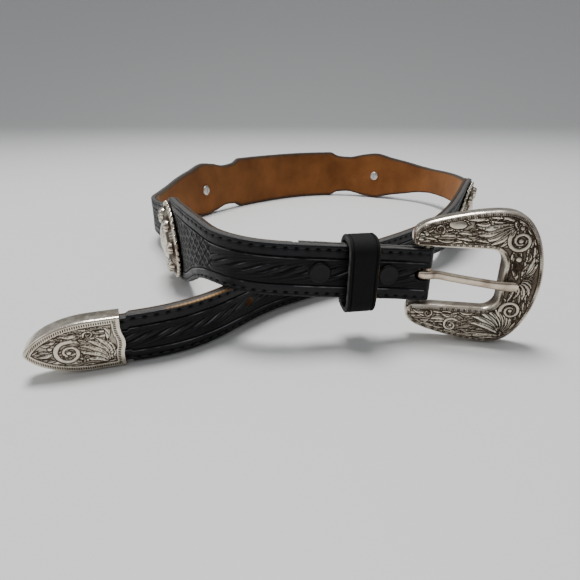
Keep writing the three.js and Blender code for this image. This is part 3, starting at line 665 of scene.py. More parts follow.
# Stitching
# Black waxed thread that sews the strap to its lining, 1.45 mm in from both edges. Each stitch is a short
# sunk bead of thread between two awl holes.
STITCH_SIZE = np.array([1.2, 0.24, 0.19])
STITCH_SUNK = 0.17
THREAD_DARK = (0.008, 0.008, 0.009, 1)
THREAD_LIGHT = (0.03, 0.03, 0.032, 1)

thread, tree, shader = material("black_thread", Roughness=0.75)
shade = mixed(tree, mottle(tree, 1800), THREAD_DARK, THREAD_LIGHT)
join_to(tree, shader, Base_Color=shade, Normal=bumps(tree, (mottle(tree, 4000, 2), 0.6, 0.0001)))


def copies(name, base, matrices):
    """One mesh of many copies of a small mesh, each laid by its matrix (metres)."""
    shape = corners_of(base)
    faces = [list(polygon.vertices) for polygon in base.data.polygons]
    matrices = np.asarray(matrices)
    laid = np.einsum("nij,vj->nvi", matrices[:, :3, :3], shape) + matrices[:, None, :3, 3]
    every = [[v + i * len(shape) for v in face] for i in range(len(matrices)) for face in faces]
    mesh = bpy.data.meshes.new(name)
    mesh.from_pydata(laid.reshape(-1, 3).tolist(), [], every)
    mesh.update()
    made = bpy.data.objects.new(name, mesh)
    bpy.context.scene.collection.objects.link(made)
    bpy.data.objects.remove(base)
    return made


def frames(s, out, up):
    """Matrices that lay a piece on the strap, in metres: local x along, y up and z out."""
    s = np.asarray(s, float)
    made = np.zeros((len(s), 4, 4))
    made[:, :3, :3] = np.stack(axes_at(s), -1)
    made[:, :3, 3] = place(s, out, up) * MM
    made[:, 3, 3] = 1
    return made


middles = (np.arange(1, int((TOTAL - TIP_LENGTH) / STITCH_PITCH)) + 0.5) * STITCH_PITCH
thread_out = GRAIN - STITCH_SUNK + 0 * middles
thread_up = half_at(middles) - STITCH_IN
rows = [frames(middles, thread_out, side * thread_up) for side in (1, -1)]
bpy.ops.mesh.primitive_uv_sphere_add(segments=8, ring_count=6, radius=1)
bead = bpy.context.object
move(bead, corners_of(bead)[:, [2, 0, 1]] * STITCH_SIZE * MM)
stitches = copies("stitching", bead, np.concatenate(rows))
stitches.data.materials.append(thread)
edit(stitches, (bpy.ops.mesh.normals_make_consistent, {"inside": False}))
smooth(stitches, 80)
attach(stitches, "root")

# Lining
# A strip of brown suede, 1.3 mm thick, glued and sewn to the flesh side of the strap, from behind the
# turned-back flap to inside the metal tip.
LINING_START = 46
LINING_FRONT = -0.65
LINING_BACK = -1.95
LINING_NARROWER = 0.4

SUEDE_DARK = (0.135, 0.045, 0.0105, 1)
SUEDE_LIGHT = (0.225, 0.082, 0.022, 1)
SUEDE_SPECK = (0.1, 0.034, 0.009, 1)
DYED_EDGE = (0.02, 0.018, 0.016, 1)
SHEEN_TINT = (0.75, 0.45, 0.25, 1)

brown_suede, tree, shader = material(
    "brown_suede",
    Roughness=0.95,
    Specular_IOR_Level=0.2,
    Sheen_Weight=0.25,
    Sheen_Roughness=0.6,
    Sheen_Tint=SHEEN_TINT,
)
nap = mixed(tree, spread(tree, mottle(tree, 45, 4), 0.35, 0.68), SUEDE_DARK, SUEDE_LIGHT)
nap = mixed(tree, spread(tree, mottle(tree, 900, 3), 0.5, 0.75, 0, 0.35), nap, SUEDE_SPECK)
nap = mixed(tree, marked(tree, "edge"), nap, DYED_EDGE)
relief = bumps(tree, (mottle(tree, 1500, 4), 0.55, 0.0003), (mottle(tree, 130, 3), 0.25, 0.0008))
join_to(tree, shader, Base_Color=nap, Normal=relief)

run = np.concatenate([np.arange(LINING_START, strap_end, 1.3), [strap_end]])
half = (half_at(run) - LINING_NARROWER)[:, None]
front = half * np.linspace(1, -1, 5)[None]
back_half = half - 0.25
between = back_half * np.linspace(-1, 1, 17)[None, 1:-1]
back_up = np.concatenate([-back_half, between, back_half], 1)
up = np.concatenate([front, -half, back_up, half], 1)
waves = chance.rand(len(run), back_up.shape[1])
for _ in range(3):
    waves = (waves + np.roll(waves, 1, 0) + np.roll(waves, -1, 0) + np.roll(waves, 1, 1)) / 4
back_out = LINING_BACK + 0.28 * np.clip(waves - 0.4, 0, 0.5)
edge_out = LINING_BACK + 0.3 + 0 * half
out = np.concatenate([LINING_FRONT + 0 * front, edge_out, back_out, edge_out], 1)
lining = sheet_of("lining_suede", np.stack([run[:, None] + 0 * up, up, out], -1))
lining.data.materials.append(brown_suede)
punched(lining)
flat = corners_of(lining) / MM
from_edge = half_at(flat[:, 0]) - LINING_NARROWER - np.abs(flat[:, 1])
mark(lining, "edge", np.clip((0.9 - from_edge) / 0.4, 0, 1))
move(lining, place(flat[:, 0], flat[:, 2], flat[:, 1]) * MM)
smooth(lining)
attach(lining, "root")
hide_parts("lining")

# Keeper
# The loop behind the buckle that holds the free end: a strip of the same leather, 10 mm wide and 2 mm
# thick, creased along both edges, bent round the strap and closed behind it.
KEEPER_FROM, KEEPER_TO = 18.8, 28.8
KEEPER_MIDDLE = 25.2
KEEPER_HALF = 13.3
KEEPER_FRONT, KEEPER_BACK = 6.6, -6.2
KEEPER_WALL = 2.0
KEEPER_CORNER = 5.2
CREASE_IN = 1.25


def rounded_path(left, right, bottom, top, radius, step):
    """Points and outward directions round a rectangle with round corners, closed."""
    corners = [
        (right - radius, top - radius, 0),
        (left + radius, top - radius, 90),
        (left + radius, bottom + radius, 180),
        (right - radius, bottom + radius, 270),
    ]
    points = []
    for (x, y, start), (next_x, next_y, _) in zip(corners, corners[1:] + corners[:1]):
        for degrees in np.linspace(start, start + 90, 9):
            direction = np.array([math.cos(math.radians(degrees)), math.sin(math.radians(degrees))])
            points.append((np.array([x, y]) + radius * direction, direction))
        length = math.hypot(next_x - x, next_y - y)
        for t in np.arange(step, length - step / 2, step) / length:
            straight = np.array([x + t * (next_x - x), y + t * (next_y - y)]) + radius * direction
            points.append((straight, direction))
    points.append(points[0])
    return np.array([p for p, _ in points]), np.array([d for _, d in points])


half_wide = (KEEPER_TO - KEEPER_FROM) / 2
edge, outward = rounded_path(KEEPER_BACK, KEEPER_FRONT, -KEEPER_HALF, KEEPER_HALF, KEEPER_CORNER, 0.55)
face_rows = [0, 0.07, 0.25, 0.5, 0.75, 0.95, 1.08, 1.18, 1.28, 1.38, 1.5, 1.7, 2.1, 2.8, 3.7, 4.4]
face_x = half_wide - np.array(face_rows)
face_x = np.concatenate([face_x, [0], -face_x[::-1]])
face_in = half_wide - np.abs(face_x)
face_depth = np.interp(face_in, [0, 0.07, 0.25, 0.5], [0.55, 0.25, 0.07, 0])
face_depth = face_depth + groove(face_in - CREASE_IN, 0.28, 0.42)
under_x = np.array([-1, -1, -0.93, 0, 0.93, 1, 1]) * half_wide
under_depth = np.array([1.1, 1.8, KEEPER_WALL, KEEPER_WALL, KEEPER_WALL, 1.8, 1.1])
ring_x = np.concatenate([face_x, under_x])
ring_depth = np.concatenate([face_depth, under_depth])
around = edge[:, None] - outward[:, None] * ring_depth[None, :, None]
wobble = 0.1 * np.sin(np.arange(len(edge)) * 0.35)[:, None] * (np.abs(ring_x) > half_wide - 0.6)
wobble[-1] = wobble[0]
wavy_x = ring_x[None] - np.sign(ring_x) * np.abs(wobble)
keeper = sheet_of("keeper_leather", np.stack([wavy_x, around[..., 1], around[..., 0]], -1))
keeper.data.materials.append(black_leather)
flat = corners_of(keeper) / MM
side_in = half_wide - np.abs(flat[:, 0])
# The creases are marked so that the material paints them darker: painted shade in the creases.
mark(keeper, "recess", groove(side_in - CREASE_IN, 0.3, 1))
mark(keeper, "edge", np.clip((0.2 - side_in) / 0.15, 0, 1))
fray = 0.5 + 0.5 * np.sin(flat[:, 1] * 4.1 + np.sin(flat[:, 1] * 1.7) * 3)
frayed = np.clip((0.3 - side_in) / 0.2, 0, 1) * (flat[:, 0] > 0) * (flat[:, 2] > 2)
mark(keeper, "wear", frayed * fray * 0.8)
keeper_at = (KEEPER_FROM + KEEPER_TO) / 2


def lay(thing, s, out=0.0, up=0.0):
    """Lays a piece that was made in the strap's own axes at s along it."""
    thing.data.transform(Matrix(frames([s], [out], [up])[0].tolist()))


lay(keeper, keeper_at, 0, KEEPER_MIDDLE - float(height_at(keeper_at)))
smooth(keeper)
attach(keeper, "root")
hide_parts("keeper")

# Press snaps
# Two press snaps close the fold: flat caps of black enamelled steel in front, and plain studs behind.
# Each profile is a row of radii and heights in millimetres.
CAP_PROFILE = [
    (1.2, -4.5),
    (1.2, 0),
    (3.35, 0),
    (3.6, 0.12),
    (3.6, 0.4),
    (3.48, 0.7),
    (3.2, 0.88),
    (2.9, 0.86),
    (2.6, 0.78),
    (1.4, 0.82),
]
STUD_PROFILE = [(1.6, -1.2), (2.2, -1.16), (2.75, -0.95), (3, -0.6), (3, -0.05), (2.9, 0), (1, 0)]
PAINT_DARK = (0.003, 0.003, 0.0042, 1)
PAINT_LIGHT = (0.005, 0.005, 0.0068, 1)
PLATE_DARK = (0.42, 0.4, 0.37, 1)
PLATE_LIGHT = (0.66, 0.65, 0.62, 1)


def turned(name, profile, sides):
    """A round piece along z: a disc pulled out and widened step by step along its profile."""
    (radius, height), *rest = profile
    bpy.ops.object.select_all(action="DESELECT")
    bpy.ops.mesh.primitive_circle_add(
        vertices=sides, radius=radius * MM, fill_type="NGON", location=(0, 0, height * MM)
    )
    made = bpy.context.object
    made.name = made.data.name = name
    bpy.ops.object.transform_apply(location=True, rotation=False, scale=False)
    bpy.ops.object.mode_set(mode="EDIT")
    bpy.ops.mesh.select_all(action="SELECT")
    for next_radius, next_height in rest:
        lift = {"value": (0, 0, (next_height - height) * MM)}
        bpy.ops.mesh.extrude_region_move(TRANSFORM_OT_translate=lift)
        ratio = next_radius / radius
        bpy.ops.transform.resize(value=(ratio, ratio, 1))
        radius, height = next_radius, next_height
    bpy.ops.mesh.select_all(action="SELECT")
    bpy.ops.mesh.normals_make_consistent(inside=False)
    bpy.ops.object.mode_set(mode="OBJECT")
    return made


black_enamel, tree, shader = material(
    "black_enamel", Specular_IOR_Level=0.2, Coat_Weight=0.04, Coat_Roughness=0.3
)
join_to(
    tree,
    shader,
    Base_Color=mixed(tree, mottle(tree, 200), PAINT_DARK, PAINT_LIGHT),
    Roughness=spread(tree, mottle(tree, 900, 4), 0.3, 0.7, 0.36, 0.52),
    Normal=bumps(tree, (mottle(tree, 1300, 3), 0.15, 0.0001)),
)
screw_metal, tree, shader = material("screw_metal", Metallic=1.0)
join_to(
    tree,
    shader,
    Base_Color=mixed(tree, mottle(tree, 300, 4), PLATE_DARK, PLATE_LIGHT),
    Roughness=spread(tree, mottle(tree, 700, 4), 0.3, 0.7, 0.22, 0.45),
    Normal=bumps(tree, (mottle(tree, 2500, 3), 0.2, 0.0001)),
)
for number, s in enumerate(SNAPS, 1):
    cap = turned(f"snap_cap_{number}_round", CAP_PROFILE, 48)
    stud = turned(f"snap_stud_{number}_round", STUD_PROFILE, 40)
    lay(cap, s, GRAIN + 0.3)
    lay(stud, s, FLAP_FLESH - FLAP_WALL - 0.3)
    for piece, finish, slot_name in (
        (cap, black_enamel, "black_enamel"),
        (stud, screw_metal, "screw_metal"),
    ):
        piece.data.materials.append(finish)
        smooth(piece, 40)
        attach(piece, "root")
        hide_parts(piece.name.rsplit("_", 1)[0])

# Conchos
# Four struck discs of nickel silver, 35 mm across: a smooth worn middle, eight flower bosses on a dark
# ground, and a rim of round beads. A post behind each goes through the strap.
CONCHO_FOOT = GRAIN + 0.3
CONCHO_RIM = 17.0
BEADS = 36
BEAD_RING = 16.75
BEAD_RADIUS = 0.82
BOSSES = 8
BOSS_RING = 12.3
BOSS_RADIUS = 2.7
DENTS = 34
DENT_RADIUS = 0.42
# Radius and height of the dome, and of the disc's edge, back and post.
DOME = [
    (0, 5.8),
    (3, 5.65),
    (6.0, 4.95),
    (7.6, 4.15),
    (8.4, 3.95),
    (11, 3.7),
    (14.2, 2.75),
    (15.6, 1.5),
    (16, 1.15),
    (17.3, 1.05),
]
BEHIND = [
    (17.15, 0.75),
    (17.15, 0.3),
    (16.9, 0.02),
    (13.4, 0),
    (12.9, 0.25),
    (9.5, 2.3),
    (2.75, 2.4),
    (2.75, -3.7),
    (2.6, -3.85),
    (1.5, -3.85),
    (1.5, 2.0),
    (0, 2.0),
]
WEDGE_PITCH = 0.66
WEDGE_HALF = 0.27
WEDGE_IN = 1.2
WEDGE_REACH = 0.62
SILVER_BRIGHT = (0.82, 0.75, 0.63, 1)
SILVER_WORN = (0.48, 0.41, 0.325, 1)
TARNISH_BLACK = (0.025, 0.018, 0.013, 1)
TARNISH_BROWN = (0.11, 0.078, 0.055, 1)

nickel_silver, tree, shader = material("nickel_silver", Metallic=1.0)
bright = mixed(tree, spread(tree, mottle(tree, 160, 4), 0.4, 0.72), SILVER_BRIGHT, SILVER_WORN)
old = mixed(tree, mottle(tree, 500, 3), TARNISH_BLACK, TARNISH_BROWN)
wedge = ridge(tree, repeated(tree, marked(tree, "rim_along"), WEDGE_PITCH), WEDGE_HALF)
from_line = maths(tree, "SUBTRACT", marked(tree, "rim_in"), WEDGE_IN)
wedges = times(tree, wedge, ridge(tree, from_line, WEDGE_REACH))
tarnish = greatest(tree, marked(tree, "recess"), wedges)
soiled = maths(tree, "ADD", tarnish, times(tree, mottle(tree, 1200, 4), 0.25))
factor = spread(tree, soiled, 0.2, 0.95)
polish = spread(tree, mottle(tree, 500, 5), 0.3, 0.75, 0.16, 0.32)
relief = bumps(
    tree,
    (mottle(tree, 3200, 5), 0.18, 0.00008),
    (mottle(tree, 420, 3), 0.25, 0.0003),
    (times(tree, wedges, -1.0), 0.7, 0.0002),
)
join_to(
    tree,
    shader,
    Base_Color=mixed(tree, factor, bright, old),
    Roughness=maths(tree, "ADD", polish, times(tree, factor, 0.35)),
    Normal=relief,
)


def dome_height(r):
    return np.interp(r, *zip(*DOME))


def concho_face(x, y):
    """Height of the disc's face and how dark its ground is."""
    r, turn = np.hypot(x, y), np.arctan2(y, x)
    smoothed = sum(dome_height(np.maximum(r + shift, 0)) for shift in (-0.5, -0.25, 0, 0.25, 0.5)) / 5
    ground = np.clip((r - 8.1) / 0.6, 0, 1) * np.clip((15.9 - r) / 0.5, 0, 1)
    dark = 0.85 * ground
    ring = groove(r - 8.5, 0.5, 0.35)
    petals = np.cos(BOSSES * turn + math.pi)
    spray = ground * np.clip((r - 13.2) / 0.8, 0, 1) * np.clip(petals, 0, 1) * np.abs(np.cos(40 * turn))
    height = smoothed - ring + 0.35 * spray
    dark = dark + 1.4 * ring - 0.45 * spray
    marks = np.random.RandomState(5)
    for _ in range(DENTS):
        reach, angle = 7.2 * math.sqrt(marks.rand()), 2 * math.pi * marks.rand()
        away = np.hypot(x - reach * math.cos(angle), y - reach * math.sin(angle))
        dent = np.clip(1 - away / DENT_RADIUS, 0, 1)
        height, dark = height - 0.22 * dent, dark + 1.1 * dent
    return height, np.clip(dark, 0, 1)


def disc(radii, sides):
    """Points x and y of one ring for each radius."""
    turn = np.linspace(0, 2 * math.pi, sides, endpoint=False)
    return radii[:, None] * np.cos(turn)[None], radii[:, None] * np.sin(turn)[None]


face_r = np.concatenate([[0], np.arange(0.25, CONCHO_RIM, 0.3), [CONCHO_RIM]])
face_x, face_y = disc(face_r, 288)
face_z, _ = concho_face(face_x, face_y)
behind_x, behind_y = disc(np.array([r for r, _ in BEHIND]), 288)
behind_z = np.array([z for _, z in BEHIND])[:, None] + 0 * behind_x
body_x = np.concatenate([face_x, behind_x])
body_y = np.concatenate([face_y, behind_y])
body_z = np.concatenate([face_z, behind_z])
body_points = np.stack([body_x, body_y, body_z], -1)


def petals_at(turn):
    return np.abs(np.cos(4.5 * turn)) ** 0.6


def boss():
    """One flower: nine petals round a button."""
    rho = np.concatenate([[0], np.linspace(0.35, BOSS_RADIUS, 11), [BOSS_RADIUS, 0]])
    x, y = disc(rho, 36)
    t = rho[:, None] / BOSS_RADIUS
    round_top = 1.3 * np.sqrt(np.clip(1 - t**2, 0, 1))
    z = 3.6 + round_top * (0.72 + 0.28 * petals_at(np.arctan2(y, x)) * (t > 0.3))
    z = z - 0.35 * np.exp(-(((t - 0.34) / 0.1) ** 2))
    z[-2:] = 2.6
    return np.stack([x, y, z + 0 * x], -1)


def round_ring(count, radius):
    """Matrices that lay copies evenly round a circle."""
    out = Matrix.Translation((radius * MM, 0, 0))
    return [Matrix.Rotation(2 * math.pi * i / count, 4, "Z") @ out for i in range(count)]


def concho(name):
    body = sheet_of(name, body_points)
    flat = corners_of(body) / MM
    on_face = (flat[:, 2] > 0.9) & (np.hypot(flat[:, 0], flat[:, 1]) < 17.05)
    _, dark = concho_face(flat[:, 0], flat[:, 1])
    mark(body, "recess", np.where(on_face, dark, 0.2))
    flower = sheet_of("flower", boss())
    places = corners_of(flower) / MM
    turn = np.arctan2(places[:, 1], places[:, 0])
    rho = np.hypot(places[:, 0], places[:, 1]) / BOSS_RADIUS
    shade = np.clip(1.1 - petals_at(turn) * 1.3, 0, 1) * (rho > 0.3)
    shade = np.clip(shade + 0.9 * np.exp(-(((rho - 0.34) / 0.08) ** 2)), 0, 1)
    flowers = copies("flowers", flower, round_ring(BOSSES, BOSS_RING))
    mark(flowers, "recess", np.tile(shade, BOSSES))
    bpy.ops.mesh.primitive_uv_sphere_add(segments=14, ring_count=9, radius=BEAD_RADIUS * MM)
    bead = bpy.context.object
    move(bead, corners_of(bead) + (0, 0, 1.0 * MM))
    beads = copies("beads", bead, round_ring(BEADS, BEAD_RING))
    places = corners_of(beads) / MM
    mark(beads, "recess", np.clip((0.95 - places[:, 2]) / 0.5, 0, 0.85))
    bpy.ops.object.select_all(action="DESELECT")
    for part in (body, flowers, beads):
        part.select_set(True)
    bpy.context.view_layer.objects.active = body
    bpy.ops.object.join()
    return body


for number, s in enumerate(stations, 1):
    piece = concho(f"concho_{number}_struck")
    piece.data.materials.append(nickel_silver)
    lay(piece, s, CONCHO_FOOT)
    smooth(piece, 60)
    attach(piece, "root")
    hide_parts(f"concho_{number}")

# Concho screws
# Slotted screws of plated steel on the lining side, whose shanks go into the conchos' posts.
SCREW_PROFILE = [(2.3, -1.2), (2.95, -1.1), (3.37, -0.8), (3.5, -0.45), (3.5, 0), (1.2, 0), (1.2, 3.2)]
for number, s in enumerate(stations, 1):
    piece = turned(f"concho_screw_{number}_slotted", SCREW_PROFILE, 48)
    bpy.ops.mesh.primitive_cube_add(size=1, location=(0, 0, -1.3 * MM), scale=(9 * MM, 0.9 * MM, 1.1 * MM))
    driver = bpy.context.object
    bpy.ops.object.transform_apply(location=True, rotation=True, scale=True)
    driver.data.transform(Matrix.Rotation(math.radians(35 * number), 4, "Z"))
    cut(piece, driver)
    piece.data.materials.clear()
    piece.data.materials.append(screw_metal)
    lay(piece, s, LINING_BACK - 0.3)
    smooth(piece, 35)
    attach(piece, "root")
    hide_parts(f"concho_screw_{number}")

# Buckle
# A cast frame of nickel silver, open to the left, with a plain rounded rim, a line of small wedge cuts
# inside it and engraved scrolls and leaves. The round bar that the strap turns round is cast in one
# with it.
BUCKLE_HEIGHT = 23.4
BUCKLE_SWING = -10.4
BUCKLE_FRONT, BUCKLE_BACK = 3.3, -1.5
BUCKLE_RIGHT = 37.2
BUCKLE_BEVEL = 1.7
BUCKLE_BORDER = 1.75
OPEN_HALF, OPEN_END, OPEN_CORNER = 10.3, 24.4, 4.5
ARM_TIP_INNER = -3.2
BAR_RADIUS = 1.1
BUCKLE_EDGE = [
    (-4.6, 11),
    (-5.1, 13.4),
    (-4.5, 16),
    (-2.2, 18.1),
    (2, 19.8),
    (9, 21.6),
    (16, 22.9),
    (22, 23.4),
    (26.6, 22.7),
    (30.4, 20.2),
    (33.6, 15.6),
    (35.7, 10.3),
    (36.8, 5),
]
ENGRAVED = 0.34
CUT_HALF = 0.14
GROUND_HEIGHT, GROUND_DARK = 0.25, 0.5


def spline(points, per_span):
    """Smooth curve through points, with its tangents along their neighbours."""
    p = np.array([points[0]] + list(points) + [points[-1]], float)
    out = []
    for i in range(1, len(p) - 2):
        a, b, c, d = p[i - 1], p[i], p[i + 1], p[i + 2]
        if i == 1:
            a = b
        for t in np.linspace(0, 1, per_span, endpoint=False):
            v0, v1 = (c - a) / 2, (d - b) / 2
            out.append(
                (2 * b - 2 * c + v0 + v1) * t**3 + (-3 * b + 3 * c - 2 * v0 - v1) * t**2 + v0 * t + b
            )
    out.append(p[-2])
    return np.array(out)


def lengths(points):
    return np.concatenate([[0], np.cumsum(np.hypot(*np.diff(points, axis=0).T))])


def nearest_length(points, at):
    return lengths(points)[np.argmin(np.hypot(*(points - np.array(at)).T))]


def along_curve(points, distance):
    run = lengths(points)
    return np.stack([np.interp(distance, run, points[:, k]) for k in (0, 1)], -1)


def distance_to(outline, x, y):
    """Distance of each place from a closed outline."""
    best = np.full(x.shape, 1e9)
    for (ax, ay), (bx, by) in zip(outline, np.roll(outline, -1, axis=0)):
        dx, dy = bx - ax, by - ay
        span = dx * dx + dy * dy
        if span < 1e-12:
            continue
        t = np.clip(((x - ax) * dx + (y - ay) * dy) / span, 0, 1)
        best = np.minimum(best, (x - ax - t * dx) ** 2 + (y - ay - t * dy) ** 2)
    return np.sqrt(best)


class Face:
    """A metal face that is engraved piece by piece: its height between 0 and 1, and its cuts."""

    def __init__(self, x, y):
        self.x, self.y = x, y
        self.height = np.full(x.shape, GROUND_HEIGHT)
        self.cut = np.full(x.shape, GROUND_DARK)

    def leaf(self, x, y, angle, length, width, bend):
        turn = math.radians(angle)
        dx, dy = self.x - x, self.y - y
        t = (dx * math.cos(turn) + dy * math.sin(turn)) / length
        across = dy * math.cos(turn) - dx * math.sin(turn) - 4 * bend * t * (1 - t)
        held = np.clip(t, 0, 1)
        half = width / 2 * np.sin(math.pi * held**0.75) ** 0.85
        inside = (t > 0) & (t < 1) & (np.abs(across) < half)
        swell = np.sqrt(np.clip(1 - (across / np.maximum(half, 1e-6)) ** 2, 0, 1))
        self.height = np.where(inside, 0.45 + 0.55 * swell, self.height)
        self.cut = np.where(inside, 0, self.cut)
        rim = (t > -0.02) & (t < 1.02) & (np.abs(np.abs(across) - half) < CUT_HALF)
        vein = inside & (np.abs(across + 0.12 * width) < CUT_HALF * 0.6) & (t > 0.12) & (t < 0.72)
        self.line(rim, 1.0)
        self.line(vein, 0.75)

    def line(self, where, dark):
        self.height = np.where(where, np.minimum(self.height, 0.45 * (1 - dark)), self.height)
        self.cut = np.where(where, np.maximum(self.cut, dark), self.cut)

    def curl(self, x, y, inner, outer, turns, start, width, hand=1):
        dx, dy = self.x - x, self.y - y
        r = np.hypot(dx, dy)
        share = (hand * np.degrees(np.arctan2(dy, dx)) - hand * start) / 360
        for wrap in range(math.ceil(turns) + 1):
            t = (share % 1 + wrap) / turns
            held = np.clip(t, 0, 1)
            off = r - (outer + (inner - outer) * held)
            half = width / 2 * (1 - 0.45 * held)
            inside = (t <= 1) & (np.abs(off) < half)
            swell = np.sqrt(np.clip(1 - (off / half) ** 2, 0, 1))
            self.height = np.where(inside, 0.45 + 0.55 * swell, self.height)
            self.cut = np.where(inside, 0, self.cut)
            self.line((t <= 1) & (np.abs(np.abs(off) - half) < CUT_HALF), 1.0)
        self.ball(x, y, inner * 0.75)

    def oval(self, x, y, half_wide, half_high):
        r = np.hypot((self.x - x) / half_wide, (self.y - y) / half_high)
        self.height = np.where(r < 1, 0.4 + 0.6 * np.sqrt(np.clip(1 - r**2, 0, 1)), self.height)
        self.cut = np.where(r < 1, 0, self.cut)
        self.line(np.abs(r - 1) * half_high < CUT_HALF, 1.0)

    def ball(self, x, y, radius):
        self.oval(x, y, radius, radius)

    def border(self, inset, width, height):
        """A plain border inside the edge, with a cut along it."""
        plain = inset < width
        self.height = np.where(plain, height, self.height)
        self.cut = np.where(plain, 0, self.cut)
        self.line(np.abs(inset - width) < CUT_HALF, 0.8)


def rounded_off(inset, bevel):
    """How far a round edge falls away at a distance from the outline."""
    share = np.clip(1 - inset / bevel, 0, 1)
    return bevel * (1 - np.sqrt(np.clip(1 - share**2, 0, 1)))


half_edge = spline([(ARM_TIP_INNER, OPEN_HALF)] + BUCKLE_EDGE + [(BUCKLE_RIGHT, 0), (36.8, -5)], 40)
half_edge = half_edge[: np.argmax(half_edge[:, 0] > BUCKLE_RIGHT - 0.02) + 1]
half_edge = half_edge[half_edge[:, 1] >= 0]
half_edge = np.concatenate([half_edge, [[BUCKLE_RIGHT, 0]]])
corner_turn = np.radians(np.linspace(90, 0, 14))
corner_middle = np.array([OPEN_END - OPEN_CORNER, OPEN_HALF - OPEN_CORNER])
corner = corner_middle + OPEN_CORNER * np.stack([np.cos(corner_turn), np.sin(corner_turn)], -1)
half_open = np.concatenate([[[ARM_TIP_INNER, OPEN_HALF]], corner, [[OPEN_END, 0]]])
# Places of the opening and of the outer edge that lie opposite each other.
PAIRS = [
    ((ARM_TIP_INNER, OPEN_HALF), (ARM_TIP_INNER, OPEN_HALF)),
    ((-2.4, OPEN_HALF), (-4.9, 12.4)),
    ((-0.8, OPEN_HALF), (-4.2, 16.4)),
    ((5, OPEN_HALF), (4.4, 20.5)),
    ((13, OPEN_HALF), (14, 22.6)),
    ((20, OPEN_HALF), (23, 23.4)),
    ((23.2, 9), (31.4, 19.2)),
    ((OPEN_END, 5.8), (34.9, 12.6)),
    ((OPEN_END, 0), (BUCKLE_RIGHT, 0)),
]


def fine(points):
    """The same line in steps of 0.05 mm."""
    return along_curve(points, np.arange(0, lengths(points)[-1] + 0.05, 0.05))


half_edge, half_open = fine(half_edge), fine(half_open)
inner_knots = [nearest_length(half_open, a) for a, _ in PAIRS]
outer_knots = [nearest_length(half_edge, b) for _, b in PAIRS]
COLUMNS = 340
middle_knots = (np.array(inner_knots) + np.array(outer_knots)) / 2
share = np.linspace(0, 1, COLUMNS)
share = np.where(share < 0.08, share * (0.4 + 7.5 * share), share)
middle_run = share * middle_knots[-1]
inner_run = np.interp(middle_run, middle_knots, inner_knots)
outer_run = np.interp(middle_run, middle_knots, outer_knots)
inner_line, outer_line = along_curve(half_open, inner_run), along_curve(half_edge, outer_run)
mirror = np.array([1, -1])
inner_line = np.concatenate([inner_line, inner_line[-2::-1] * mirror])
outer_line = np.concatenate([outer_line, outer_line[-2::-1] * mirror])
ROWS = 76
t = np.linspace(0, 1, ROWS)[None, :, None]
t = 0.5 - 0.25 * np.cos(math.pi * t) - 0.25 * (1 - 2 * t)
face_xy = inner_line[:, None] * (1 - t) + outer_line[:, None] * t
half_open_closed = np.concatenate([half_open[::12], (half_open[::12] * mirror)[::-1]])
outline = np.concatenate([half_open_closed, half_edge[::8] * mirror, half_edge[::-8]])


